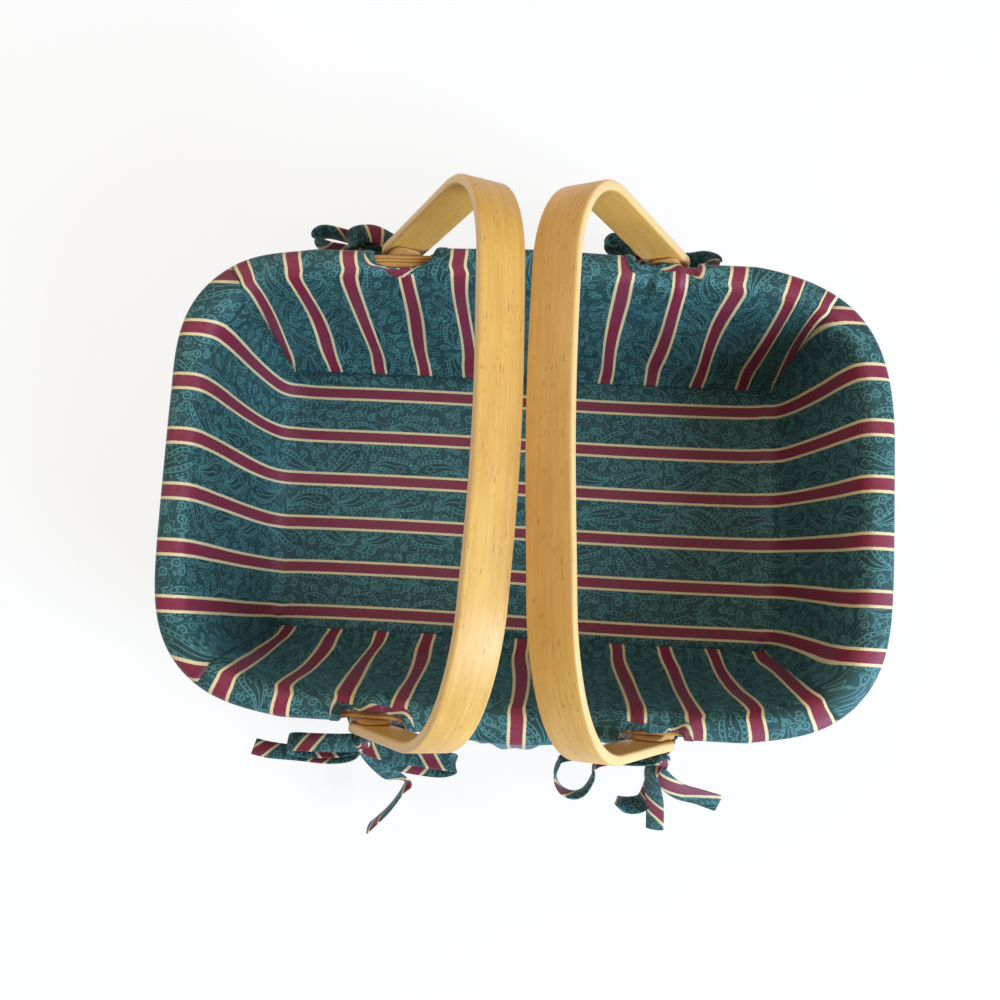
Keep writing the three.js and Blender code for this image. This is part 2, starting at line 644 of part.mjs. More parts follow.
// A tape along a path, its flat side facing out and up.
function tape(path) {
  const sections = path.map((middle, i) => {
    const along = V3().subVectors(path[Math.min(i + 1, path.length - 1)], path[Math.max(i - 1, 0)]).normalize();
    const across = along.clone().cross(V3(0, 1, 0)).normalize();
    const out = V3().crossVectors(across, along);
    return [[-1, -1], [1, -1], [1, 1], [-1, 1]].map(([w, d]) =>
      middle
        .clone()
        .addScaledVector(across, (w * TIE_WIDTH) / 2)
        .addScaledVector(out, (d * TIE_THICKNESS) / 2),
    );
  });
  return loft(sections, false);
}

// A tail leaves the knot outwards and then droops.
function bowTail(tip) {
  const bend = V3(tip.x * 0.5, tip.y * 0.55, tip.z * 0.25);
  return tape(new THREE.QuadraticBezierCurve3(V3(0, 0, 0), bend, tip).getPoints(3));
}

function tieBow({ loops, tails }, flapFace) {
  const parts = [
    ...loops.map((tip) => bowLoop(V3(...tip))),
    ...tails.map((tip) => bowTail(V3(...tip))),
    ...[-1, 1].map((side) => tape([V3(0, 0, 0), V3(side * ROOT_SPREAD, flapFace, -ROOT_DROP)])),
  ];
  const knot = new THREE.SphereGeometry(KNOT_RADIUS, 7, 4).scale(0.9, KNOT_DEPTH, 1);
  return toGeometry(parts.reduce((solid, part) => solid.add(toSolid(part)), toSolid(knot)));
}

for (const [name, right, front] of [
  ['front_left', -1, -1],
  ['front_right', 1, -1],
  ['back_left', -1, 1],
  ['back_right', 1, 1],
]) {
  const quarter = new THREE.Group();
  quarter.scale.set(right, front, 1);
  basket.add(quarter);
  add(quarter, `handle_ear_${name}`, handleEar(), materials.ear);
  add(quarter, `handle_rivet_${name}`, handleRivet(), materials.rivet);
  const knot = new THREE.Group();
  knot.position.set(right * earEndX, front * (rimFaceY + KNOT_REACH), earEndZ - KNOT_DROP);
  knot.scale.set(1, front, 1);
  basket.add(knot);
  add(knot, `tie_bow_${name}`, tieBow(BOWS[name], FLAP_BULGE - ROOT_SET_BACK - KNOT_REACH), materials.tie);
}

// Liner: a long panel (both ends and the floor) and two side panels, each rolled over the rim into a hanging flap.

const linerX = baseX - LINER_BASE_INSET;
const linerY = baseY - LINER_BASE_INSET;
const linerFloor = floorTop + RIM_CLEARANCE + CLOTH / 2;
const cornerShare = Math.pow(2, -1 / RIM_SQUARENESS); // where the rim's superellipse meets its diagonal
const clinchRoom = (2 * RIVET_CLINCH_RADIUS + PIVOT_DROP - ROLL_DEPTH) * Math.tan(sideSlope);
const rollInner = bandOuter + clinchRoom + LINER_STANDOFF + CLOTH / 2;

// Where the notch for a handle's leg starts and ends, and how far out and down the opening round the ear goes
const legWidth = HANDLE_WIDTH / Math.cos(restLean);
const legShift = (height) => Math.tan(restLean) * (PIVOT_DROP + height);
const notchInner = pivotX - legShift(ROLL_RISE + CLOTH) - legWidth / 2 - NOTCH_MARGIN;
const notchOuter = pivotX - legShift(-ROLL_DEPTH) + legWidth / 2 + NOTCH_MARGIN;
const earOuter = earEndX + (EAR_WIDTH / 2) * Math.cos(restLean) + NOTCH_MARGIN;
const earLow = earEndZ - (EAR_WIDTH / 2) * Math.sin(restLean) - NOTCH_MARGIN;

// How far the flap stands off the outer band at a place on the rim: it keeps clear of the legs that swing past it.
function flapReach(x, y) {
  const legSide = Math.abs(x) > pivotX && Math.abs(y) > rimY * cornerShare;
  const room = handleInnerY - FLAP_HANDLE_CLEARANCE - bandOuter - Math.abs(y);
  return legSide ? Math.min(FLAP_BULGE, room) : FLAP_BULGE;
}

// How far the hem stands out: most in the middle of a long side, not at all past its handle legs.
function flapFlare(x, y) {
  const share = Math.min(1, Math.abs(x) / notchInner);
  return Math.abs(y) > rimY * cornerShare ? FLAP_FLARE * Math.cos((share * Math.PI) / 2) ** 2 : 0;
}

// From the floor seam up the inside, over the rim and down to the hem, at one place along a panel.
function linerProfile(base, rim, out, column) {
  const points = [];
  const at = (offset, z) => V3(rim.x + out.x * offset, rim.y + out.y * offset, z);
  const rollLow = BASKET_HEIGHT - ROLL_DEPTH;
  const seam = V3(base.x, base.y, linerFloor);
  const top = at(-rollInner, rollLow);
  const knee = seam.clone().lerp(top, 0.35).setZ(mix(linerFloor, rollLow, 0.15));
  const wallSteps = 4;
  for (let i = 0; i < wallSteps; i++) {
    const t = i / wallSteps;
    points.push(
      seam
        .clone()
        .multiplyScalar((1 - t) ** 2)
        .addScaledVector(knee, 2 * t * (1 - t))
        .addScaledVector(top, t * t),
    );
  }
  const rollOuter = bandOuter + flapReach(rim.x, rim.y) - CLOTH / 2;
  const rollSteps = 4;
  for (let i = 0; i <= rollSteps; i++) {
    const angle = (Math.PI * i) / rollSteps;
    const squarer = (value) => Math.sign(value) * Math.pow(Math.abs(value), ROLL_SQUARENESS);
    const offset = mix(-rollInner, rollOuter, 0.5 - 0.5 * squarer(Math.cos(angle)));
    points.push(at(offset, rollLow + squarer(Math.sin(angle)) * (ROLL_DEPTH + ROLL_RISE)));
  }
  const flapSteps = 3;
  for (let i = 1; i <= flapSteps; i++) {
    const drop = i / flapSteps;
    const fold = FOLD_DEPTH * drop * (0.5 - 0.5 * Math.cos((2 * Math.PI * column) / FOLD_COLUMNS));
    points.push(at(rollOuter + flapFlare(rim.x, rim.y) * drop - fold, mix(rollLow, BASKET_HEIGHT - FLAP_DROP, drop)));
  }
  return points;
}

// Outward level normal of the rim at a point of it.
function rimOut(p) {
  const slope = (value, half) => (Math.sign(value) * Math.pow(Math.abs(value / half), RIM_SQUARENESS - 1)) / half;
  return V2(slope(p.x, rimX), slope(p.y, rimY)).normalize();
}

// Stations across a panel stand closer together towards the corners, where the rim bends.
const cornerward = (share) => mix(share, Math.sin((share * Math.PI) / 2), 0.5);

function sidePanel(front) {
  const reach = rimX * cornerShare;
  const pull = 1 - SEAM_GAP / reach;
  const grid = Array.from({ length: SIDE_COLUMNS }, (_, i) => {
    const share = pull * cornerward(-1 + (2 * i) / (SIDE_COLUMNS - 1));
    const rim = V2(share * reach, front * rimYAt(share * reach));
    const column = Math.abs(i - (SIDE_COLUMNS - 1) / 2);
    const profile = linerProfile(V2(share * linerX, front * linerY), rim, rimOut(rim), column);
    profile[0].lerp(profile[1], (2 * SEAM_GAP) / profile[0].distanceTo(profile[1]));
    return profile;
  });
  return sheetSolid(grid, CLOTH);
}

function longPanel() {
  const reach = rimY * cornerShare;
  const pull = 1 - SEAM_GAP / linerY;
  const grid = Array.from({ length: END_COLUMNS }, (_, i) => {
    const share = pull * cornerward(-1 + (2 * i) / (END_COLUMNS - 1));
    const ends = [-1, 1].map((right) => {
      const rim = V2(right * rimXAt(share * reach), share * reach);
      const column = Math.abs(i - (END_COLUMNS - 1) / 2);
      return linerProfile(V2(right * linerX, share * linerY), rim, rimOut(rim), column);
    });
    return [...ends[0].reverse(), ...ends[1]];
  });
  return sheetSolid(grid, CLOTH);
}

// The notch for a handle's leg and ear, and the slit below it, cut through a side panel.
function notchTools(side, front) {
  const from = notchInner;
  const opening = (low, to) => {
    const shape = new THREE.Shape();
    const high = BASKET_HEIGHT + 2 * (ROLL_DEPTH + ROLL_RISE);
    shape.moveTo(side * to, high);
    shape.lineTo(side * from, high);
    shape.lineTo(side * from, low + NOTCH_RADIUS);
    shape.quadraticCurveTo(side * from, low, side * (from + NOTCH_RADIUS), low);
    shape.lineTo(side * (to - NOTCH_RADIUS), low);
    shape.quadraticCurveTo(side * to, low, side * to, low + NOTCH_RADIUS);
    return shape;
  };
  const slit = new THREE.Shape();
  const hem = BASKET_HEIGHT - FLAP_DROP;
  for (const [x, z] of [[-1, -hem], [1, -hem], [1, BASKET_HEIGHT], [-1, BASKET_HEIGHT]]) {
    const corner = [side * earEndX + (x * SLIT_WIDTH) / 2, z];
    if (z < 0 && x < 0) slit.moveTo(...corner);
    else slit.lineTo(...corner);
  }
  const between = rimFaceY - bandOuter;
  const slabs = [
    [opening(BASKET_HEIGHT - NOTCH_DEPTH, notchOuter), rimY / 2, 2 * rimY],
    [opening(earLow, Math.max(earOuter, notchOuter)), between, 2 * rimY],
    [slit, between - FOLD_DEPTH - CLOTH, 2 * rimY],
  ];
  return slabs.map(([shape, near, far]) => {
    const [low, high] = front > 0 ? [near, far] : [-far, -near];
    return slabAlongY(shape, low, high);
  });
}

add(basket, 'liner_long_panel', longPanel(), materials.liner);
for (const [name, front] of [['front', -1], ['back', 1]]) {
  const tools = [-1, 1].flatMap((side) => notchTools(side, front));
  add(basket, `liner_${name}_panel`, cut(sidePanel(front), ...tools), materials.liner);
}

export default basket;
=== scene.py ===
import bmesh
import bpy
import numpy as np
from mathutils import Matrix


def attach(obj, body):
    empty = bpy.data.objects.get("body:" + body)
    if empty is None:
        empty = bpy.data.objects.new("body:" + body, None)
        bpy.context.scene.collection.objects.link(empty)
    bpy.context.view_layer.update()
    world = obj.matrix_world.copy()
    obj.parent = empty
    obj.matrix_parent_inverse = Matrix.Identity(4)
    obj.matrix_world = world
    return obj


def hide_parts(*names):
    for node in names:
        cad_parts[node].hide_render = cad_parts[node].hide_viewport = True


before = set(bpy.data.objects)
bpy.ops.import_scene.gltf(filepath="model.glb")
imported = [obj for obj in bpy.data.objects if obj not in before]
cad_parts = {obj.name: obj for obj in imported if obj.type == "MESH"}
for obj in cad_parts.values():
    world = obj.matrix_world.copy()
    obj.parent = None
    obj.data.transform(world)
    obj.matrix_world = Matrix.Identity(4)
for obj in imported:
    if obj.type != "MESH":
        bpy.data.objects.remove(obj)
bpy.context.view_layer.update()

# Sizes in millimetres, as in the CAD source
MILLIMETRE = 0.001
BASE_X, BASE_Y = 194.0, 110.0  # half sizes of the woven floor
BASKET_HEIGHT = 120.0
FLOOR_MIDDLE = 2.7  # height of the middle of the floor's weave
WALL_RISE = BASKET_HEIGHT - FLOOR_MIDDLE
SIDE_FLARE = 41.5
WALL_LEAN = np.cos(np.arctan2(SIDE_FLARE, WALL_RISE))
RIM_LENGTH, RIM_WIDTH, RIM_SQUARENESS = 457.0, 303.0, 4.66
BAND_INNER, BAND_OUTER = 1.1425, 3.7425  # faces of the outer rim band, off the middle of the wall
BAND_LOW = BASKET_HEIGHT - 20.0
RIM_X, RIM_Y = RIM_LENGTH / 2 - BAND_OUTER, RIM_WIDTH / 2 - BAND_OUTER
SIDE_STAKES, END_STAKES, WEAVER_ROWS = 13, 7, 5
SIDE_SPACES, END_SPACES = 13.4, 7.6  # pitches of the uprights that the floor holds
SIDE_PITCH, END_PITCH = 2 * BASE_X / SIDE_SPACES, 2 * BASE_Y / END_SPACES
SIDE_MIDDLE, END_MIDDLE = SIDE_STAKES // 2, END_STAKES // 2
END_FAN = 1.06
SPLINT_WIDTH, SPLINT_THICKNESS, SPLINT_TOP = 22.0, 1.4, BASKET_HEIGHT - 4.3
TURN_LENGTH = 5.0  # how far from the floor's edge a splint starts to bend
FLOOR_WAVE = 2.0  # how far the floor's splints pass over and under
WEAVER_WIDTH, WEAVER_THICKNESS, WEAVER_OFFSET, ROW_GAP = 15.0, 1.2, 1.9, 1.6
PIVOT_X, PIVOT_Z = 3 * SIDE_PITCH + 3.1, 107.5
HANDLE_WIDTH, HANDLE_THICKNESS, HANDLE_RISE = 26.5, 6.2, 174.0
HANDLE_EDGE = 1.9
FRONT_BEND, BACK_BEND = 84.0, 62.0  # outside radius of a handle's two bends
REST_GAP = 1.0  # between the two handles where they lean together
HANDLE_LEAN = np.arcsin((PIVOT_X - REST_GAP / 2) / np.hypot(HANDLE_RISE, HANDLE_WIDTH / 2))
HANDLE_LEAN -= np.arctan2(HANDLE_WIDTH / 2, HANDLE_RISE)
HANDLE_INNER_Y, HANDLE_OUTER_Y = 154.75, 160.95
HANDLE_WIND = {"left": 0.0, "right": 6.5}  # how far the front of the top stands out of the hoop's plane
# How far each top bows out of that line, at places from its back to its front
BOW_AT = [0, 0.15, 0.45, 0.8, 1]
HANDLE_BOW = {"left": [1.0, 2.2, -1.25, 2.0, -0.6], "right": [0, -0.9, -2.2, 2.0, -0.8]}
EAR_WIDTH, EAR_RISE, EAR_DROP, EAR_CORNER, EAR_FACE_Y = 20.0, 17.5, 17.0, 6.0, 154.45
HEAD_RADIUS, HEAD_EDGE, HEAD_RISE = 6.0, 0.3, 1.7  # a rivet's domed head
SEAT = 0.3  # between pieces that bear on each other
LINER_X, LINER_Y, LINER_FLOOR = 182.0, 98.0, 6.4
ROLL_INNER, ROLL_LOW, ROLL_RISE, HEM_Z = 10.34, 116.0, 7.5, 60.0
CLOTH = 1.0
TAPE_WIDTH, TAPE_THICKNESS = 12.0, 1.4
CORNER_SHARE = 2 ** (-1 / RIM_SQUARENESS)
REACH_X, REACH_Y = RIM_X * CORNER_SHARE, RIM_Y * CORNER_SHARE  # where the rim meets the seams
QUARTERS = {"front_left": (-1, -1), "front_right": (1, -1), "back_left": (-1, 1), "back_right": (1, 1)}


def mix(a, b, share):
    return a + (b - a) * share


def ease(value, low, high):
    """Nought below low and one above high, with a smooth cubic step between them."""
    share = np.clip((value - low) / (high - low), 0, 1)
    return share * share * (3 - 2 * share)


def unit(vectors):
    return vectors / np.maximum(np.linalg.norm(vectors, axis=-1, keepdims=True), 1e-9)


def closed(rows):
    return np.concatenate([rows, rows[:1]])


def rim_depth(x):
    """Half width of the rim at x, on a superellipse."""
    return RIM_Y * (1 - np.abs(np.clip(x / RIM_X, -1, 1)) ** RIM_SQUARENESS) ** (1 / RIM_SQUARENESS)


def rim_reach(y):
    """Half length of the rim at y, on the same superellipse."""
    return RIM_X * (1 - np.abs(np.clip(y / RIM_Y, -1, 1)) ** RIM_SQUARENESS) ** (1 / RIM_SQUARENESS)


def rim_outward(plan):
    """Level outward normal of the rim's superellipse, which is the gradient of its equation."""
    half = np.array([RIM_X, RIM_Y])
    return unit(np.sign(plan) * np.abs(plan / half) ** (RIM_SQUARENESS - 1) / half)


def length_along(points):
    """Distance along the rows of a grid of points, from the first row."""
    steps = np.linalg.norm(np.diff(points, axis=0), axis=-1)
    return np.concatenate([np.zeros_like(steps[:1]), np.cumsum(steps, 0)])


def facing(points):
    """Unit normals of a grid of points, from the cross product of its two slopes."""
    return unit(np.cross(np.gradient(points, axis=0), np.gradient(points, axis=1)))


def grid_of(*parts):
    """Numbers on one grid, stretched to its size and set side by side."""
    return np.stack(np.broadcast_arrays(*parts), -1)


# Meshes


def surface(points, flat, keep=None):
    """Quads between neighbouring points of a grid. flat is each point's place on its material."""
    rows, columns = points.shape[:2]
    number = np.arange(rows * columns).reshape(rows, columns)
    quads = np.stack([number[:-1, :-1], number[:-1, 1:], number[1:, 1:], number[1:, :-1]], -1)
    quads = quads.reshape(-1, 4) if keep is None else quads[keep]
    return points.reshape(-1, 3), quads, np.broadcast_to(flat, (rows, columns, 2)).reshape(-1, 2)


def piece(name, surfaces, material, stands_for=(), body="basket", cloth=0.0, marks=None):
    """One object from surfaces, with touching edges merged. cloth is the thickness of an open sheet."""
    starts = np.cumsum([0] + [len(points) for points, _, _ in surfaces])
    points = np.concatenate([s[0] for s in surfaces]) * MILLIMETRE
    quads = np.concatenate([s[1] + start for s, start in zip(surfaces, starts)])
    flat = np.concatenate([s[2] for s in surfaces]) * MILLIMETRE
    mesh = bpy.data.meshes.new(name)
    mesh.from_pydata(points.tolist(), [], quads.tolist())
    corners = np.empty(len(mesh.loops), np.int32)
    mesh.loops.foreach_get("vertex_index", corners)
    layer = mesh.uv_layers.new(name="flat")
    layer.data.foreach_set("uv", flat[corners].astype(np.float32).ravel())
    for mark, values in (marks or {}).items():
        attribute = mesh.attributes.new(mark, "FLOAT", "POINT")
        attribute.data.foreach_set("value", values.astype(np.float32).ravel())
    shape = bmesh.new()
    shape.from_mesh(mesh)
    bmesh.ops.remove_doubles(shape, verts=shape.verts, dist=1e-6)
    loose = [vertex for vertex in shape.verts if not vertex.link_faces]
    bmesh.ops.delete(shape, geom=loose, context="VERTS")
    bmesh.ops.recalc_face_normals(shape, faces=shape.faces)
    shape.to_mesh(mesh)
    shape.free()
    mesh.polygons.foreach_set("use_smooth", np.ones(len(mesh.polygons), bool))
    mesh.materials.append(material)
    made = bpy.data.objects.new(name, mesh)
    bpy.context.scene.collection.objects.link(made)
    if cloth:
        wall = made.modifiers.new("cloth thickness", "SOLIDIFY")
        wall.thickness, wall.offset = cloth * MILLIMETRE, 0
    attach(made, body)
    if stands_for:
        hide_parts(*stands_for)
    return made


# Places across a strip, and the share of its thickness that it has there
ACROSS = np.array([-1, -0.97, -0.9, -0.45, 0, 0.45, 0.9, 0.97, 1])
EASED = np.array([0.3, 0.8, 1, 1, 1, 1, 1, 0.8, 0.3])


def slat(middle, normal, half, flat, ring=False):
    """A strip round a middle surface: its faces stand half a thickness off it, less at the eased edges."""
    lift = normal * (half * EASED)[None, :, None]
    upper, lower = middle + lift, middle - lift
    loop = np.concatenate([upper, lower[:, ::-1], upper[:, :1]], 1)
    around = np.concatenate([flat, flat[:, ::-1], flat[:, :1]], 1)
    ends = [] if ring else [0, -1]
    caps = [surface(np.stack([upper[end], lower[end]]), np.stack([flat[end]] * 2)) for end in ends]
    return [surface(loop, around), *caps]


def eased_bar(half_a, half_b, radius, steps=4):
    """Closed outline of a bar: four quarter circles joined by straight sides."""
    quarter = np.linspace(0, np.pi / 2, steps)
    turns = np.concatenate([quarter + k * np.pi / 2 for k in range(4)])
    centres = np.repeat([[1, 1], [-1, 1], [-1, -1], [1, -1]], steps, 0) * [half_a - radius, half_b - radius]
    return closed(centres + radius * grid_of(np.cos(turns), np.sin(turns)))


# Materials


def paint(red, green, blue):
    """A colour as it looks on screen, 0 to 255, made linear."""
    value = np.array([red, green, blue]) / 255
    return (*np.where(value <= 0.04045, value / 12.92, ((value + 0.055) / 1.055) ** 2.4), 1.0)


def node(tree, kind, inputs=None, **settings):
    """A node with its settings and its inputs, each a field or socket to link, or a plain value."""
    made = tree.nodes.new(kind)
    for key, value in settings.items():
        setattr(made, key, value)
    for key, value in (inputs or {}).items():
        if isinstance(value, Field):
            value = value.socket
        if isinstance(value, bpy.types.NodeSocket):
            tree.links.new(value, made.inputs[key])
        else:
            made.inputs[key].default_value = value
    return made


class Field:
    """A number that changes over a surface. Arithmetic on it adds Math nodes to its tree."""

    def __init__(self, tree, socket):
        self.tree, self.socket = tree, socket

    def math(self, operation, *others):
        inputs = {i: value for i, value in enumerate((self, *others))}
        return Field(self.tree, node(self.tree, "ShaderNodeMath", inputs, operation=operation).outputs[0])

    def __add__(self, other):
        return self.math("ADD", other)

    def __sub__(self, other):
        return self.math("SUBTRACT", other)

    def __mul__(self, other):
        return self.math("MULTIPLY", other)

    def __truediv__(self, other):
        return self.math("DIVIDE", other)

    __radd__, __rmul__ = __add__, __mul__

    def __rsub__(self, other):
        return (self * -1) + other

    def __abs__(self):
        return self.math("ABSOLUTE")

    def most(self, other):
        return self.math("MAXIMUM", other)

    def rises(self, low, high):
        """Nought below low, one above high, smooth between."""
        inputs = {"Value": self, "From Min": low, "From Max": high}
        made = node(self.tree, "ShaderNodeMapRange", inputs, interpolation_type="SMOOTHSTEP")
        return Field(self.tree, made.outputs[0])

    def falls(self, low, high):
        return 1 - self.rises(low, high)


def group(name, inputs, outputs):
    """An empty shader node group with named sockets, and its two end nodes. Its outputs are numbers."""
    tree = bpy.data.node_groups.new(name, "ShaderNodeTree")
    for label, value in inputs.items():
        kind = "NodeSocketVector" if value is None else "NodeSocketFloat"
        socket = tree.interface.new_socket(label, in_out="INPUT", socket_type=kind)
        if value is not None:
            socket.default_value = value
    for label in outputs:
        tree.interface.new_socket(label, in_out="OUTPUT", socket_type="NodeSocketFloat")
    return tree, tree.nodes.new("NodeGroupInput"), tree.nodes.new("NodeGroupOutput")


def give(tree, result, *fields):
    """Links fields to the outputs of a group, in order."""
    for field, socket in zip(fields, result.inputs):
        tree.links.new(field.socket, socket)


def split(tree, vector, scale=1.0):
    """The first two parts of a vector, as fields, each times a scale."""
    parts = node(tree, "ShaderNodeSeparateXYZ", {0: vector})
    return [Field(tree, parts.outputs[k]) * scale for k in range(2)]


def join(tree, x, y, z=0.0):
    return node(tree, "ShaderNodeCombineXYZ", {0: x, 1: y, 2: z}).outputs[0]


def noise(tree, vector, scale, detail=2.0, rough=0.5):
    inputs = {"Vector": vector, "Scale": scale, "Detail": detail, "Roughness": rough}
    return Field(tree, node(tree, "ShaderNodeTexNoise", inputs).outputs[0])


def blend(tree, share, first, second):
    """Colour between first and second."""
    inputs = {0: share, 6: first, 7: second}
    return node(tree, "ShaderNodeMix", inputs, data_type="RGBA").outputs[2]


PER_METRE = 1000.0  # millimetres of cloth or strip to a unit of the flat coordinates
PAISLEY_X, PAISLEY_Y = 27.0, 37.0  # one motif's cell
STRIPE_PITCH, STRIPE_HALF, LINE_REACH, PRINT_BLUR = 33.5, 3.4, 5.2, 0.3


def paisley_group():
    """Drop-shaped motifs in nested outlines, one to a cell and each turned its own way, with curls and rings
    between them."""
    tree, given, result = group("paisley print", {"Cloth": None}, ["Line", "Ground"])
    flat = given.outputs[0]
    wander = node(tree, "ShaderNodeTexNoise", {"Vector": flat, "Scale": 60.0, "Detail": 1.0}).outputs[1]
    push = (0.0045,) * 3
    pushed = node(tree, "ShaderNodeVectorMath", {0: wander, 1: push}, operation="MULTIPLY").outputs[0]
    cloth = node(tree, "ShaderNodeVectorMath", {0: flat, 1: pushed}, operation="ADD").outputs[0]
    x, y = split(tree, cloth, PER_METRE)
    column = (x / PAISLEY_X).math("FLOOR")
    shifted = y + (column * 0.5).math("FRACT") * PAISLEY_Y + (column * 0.37).math("FRACT") * 9
    row = (shifted / PAISLEY_Y).math("FLOOR")
    across = x - (column + 0.5) * PAISLEY_X
    along = shifted - (row + 0.5) * PAISLEY_Y
    cell = join(tree, column, row, 3.0)
    chance = node(tree, "ShaderNodeTexWhiteNoise", {"Vector": cell}, noise_dimensions="3D")
    first, second = split(tree, chance.outputs[1])
    angle = (first - 0.5) * 1.9 + second.math("GREATER_THAN", 0.5) * np.pi
    cosine, sine = angle.math("COSINE"), angle.math("SINE")
    hand = first.math("GREATER_THAN", 0.5) * 2 - 1
    side = (across * cosine - along * sine) * hand / 10
    tall = (across * sine + along * cosine) / 16
    side = side + tall.most(0.0).math("POWER", 2.0) * 0.75 - 0.12
    plump = (1 - tall * tall).most(0.0).math("SQRT") * (0.62 - tall * 0.4)
    within = abs(tall).falls(0.93, 0.99)

    def outline(share, width):
        return abs(abs(side) - plump * share).falls(width / 28, width / 28 + 0.032) * within

    beads = ((tall * 30).math("SINE") + (side * 16).math("SINE") * 0.6).rises(-0.1, 0.5)
    centre = (side * side + (tall + 0.42) * (tall + 0.42)).math("SQRT")
    petals = (side / (tall + 0.421)).math("ARCTANGENT") * 6
    flower = abs(centre - 0.2 - petals.math("SINE") * 0.06).falls(0.022, 0.05) * within
    stem = abs(side).falls(0.018, 0.05) * tall.rises(-0.15, -0.1) * within
    motif = outline(1.0, 0.75)
    for line in (outline(0.78, 1.5) * beads, outline(0.6, 0.5), flower, stem, outline(1.3, 0.9) * beads):
        motif = motif.most(line)
    beyond = (abs(side) - plump * 1.42).rises(0.0, 0.08).most(abs(tall).rises(0.97, 1.02))

    inputs = {"Vector": cloth, "Scale": 120.0, "Randomness": 0.8}
    ring = Field(tree, node(tree, "ShaderNodeTexVoronoi", inputs, voronoi_dimensions="2D").outputs[0])
    buds = abs(ring - 0.27).falls(0.035, 0.075).most(ring.falls(0.05, 0.1))
    curl = (noise(tree, cloth, 95.0, 1.5) * 7).math("FRACT")
    filler = buds.most(abs(curl - 0.5).falls(0.05, 0.12) * 0.85) * beyond
    patchy = noise(tree, flat, 900.0, 1.0).rises(0.25, 0.6)
    ground = beyond * 0.6 + noise(tree, cloth, 140.0, 2.0) * 0.4
    give(tree, result, motif.most(filler) * (patchy * 0.45 + 0.55), ground)
    return tree


def stripe_group():
    """Wide stripes at a steady pitch across the cloth, each between two fine lines with ragged edges."""
    inputs = {"Cloth": None, "Pitch": STRIPE_PITCH}
    tree, given, result = group("stripe print", inputs, ["Stripe", "Edge line"])
    x, _ = split(tree, given.outputs[0], PER_METRE)
    pitch = Field(tree, given.outputs[1])
    ragged = (noise(tree, given.outputs[0], 1800.0, 1.0) - 0.5) * 0.9
    place = x / pitch + 0.5
    away = abs((place - place.math("FLOOR") - 0.5) * pitch) + ragged
    stripe = away.falls(STRIPE_HALF, STRIPE_HALF + PRINT_BLUR)
    give(tree, result, stripe, (1 - stripe) * away.falls(LINE_REACH, LINE_REACH + PRINT_BLUR))
    return tree


def weave_group():
    """Height of a fine plain weave: two crossed sets of threads, with slubs."""
    tree, given, result = group("cotton weave", {"Cloth": None, "Thread": 0.42}, ["Height", "Fade"])
    x, y = split(tree, given.outputs[0], 2 * np.pi * PER_METRE)
    step = Field(tree, given.outputs[1])
    threads = (x / step).math("SINE") * (y / step).math("SINE")
    slubs = noise(tree, given.outputs[0], 500.0, 3.0)
    give(tree, result, threads * 0.25 + slubs, noise(tree, given.outputs[0], 35.0, 3.0))
    return tree


def grain_group():
    """Wood grain along the second coordinate: long streaks, broad clouds and short dark pores."""
    inputs = {"Strip": None, "Streak width": 2.4, "Pores": 0.6}
    tree, given, result = group("splint grain", inputs, ["Tone", "Pore", "Height"])
    x, y = split(tree, given.outputs[0], PER_METRE)
    bend = noise(tree, join(tree, x / 40, y / 160), 1.0, 1.0) * 3
    width = Field(tree, given.outputs[1])
    streaks = noise(tree, join(tree, (x + bend) / width, y / 70), 1.0, 4.0, 0.62)
    clouds = noise(tree, join(tree, x / 26, y / 60), 1.0, 3.0)
    fibres = noise(tree, join(tree, x / 0.55, y / 14), 1.0, 2.0)
    where = noise(tree, join(tree, x / 9, y / 24), 1.0, 1.0).rises(0.42, 0.62)
    pores = noise(tree, join(tree, x / 0.8, y / 6.5), 1.0, 1.0).rises(0.61, 0.74) * where
    tone = streaks * 0.38 + clouds * 0.42 + fibres * 0.2
    height = streaks * 0.4 + fibres * 0.4 - pores * 0.5
    give(tree, result, tone, pores * Field(tree, given.outputs[2]), height)
    return tree


PAISLEY, STRIPES, WEAVE, GRAIN = paisley_group(), stripe_group(), weave_group(), grain_group()


def use(tree, made, inputs):
    """A group placed in a material, and its outputs as fields by name."""
    placed = node(tree, "ShaderNodeGroup", inputs, node_tree=made)
    return {socket.name: Field(tree, socket) for socket in placed.outputs}


def mark(tree, name):
    """A piece's own mark, as a field; nought on a piece without it."""
    return Field(tree, node(tree, "ShaderNodeAttribute", attribute_name=name).outputs["Fac"])


def new_material(name, settings):
    """A material with constant settings on its shader's own sockets, and its flat coordinates."""
    made = bpy.data.materials.new(name)
    made.use_nodes = True
    tree = made.node_tree
    shader = tree.nodes["Principled BSDF"]
    for key, value in settings.items():
        shader.inputs[key].default_value = value
    return made, tree, shader, node(tree, "ShaderNodeUVMap", uv_map="flat").outputs[0]


def dress(tree, shader, colour, roughness, height, strength, depth):
    """Links a colour, a roughness and a bumped height to a shader."""
    bump = node(tree, "ShaderNodeBump", {"Height": height, "Strength": strength, "Distance": depth})
    tree.links.new(colour, shader.inputs["Base Color"])
    tree.links.new(roughness.socket, shader.inputs["Roughness"])
    tree.links.new(bump.outputs[0], shader.inputs["Normal"])


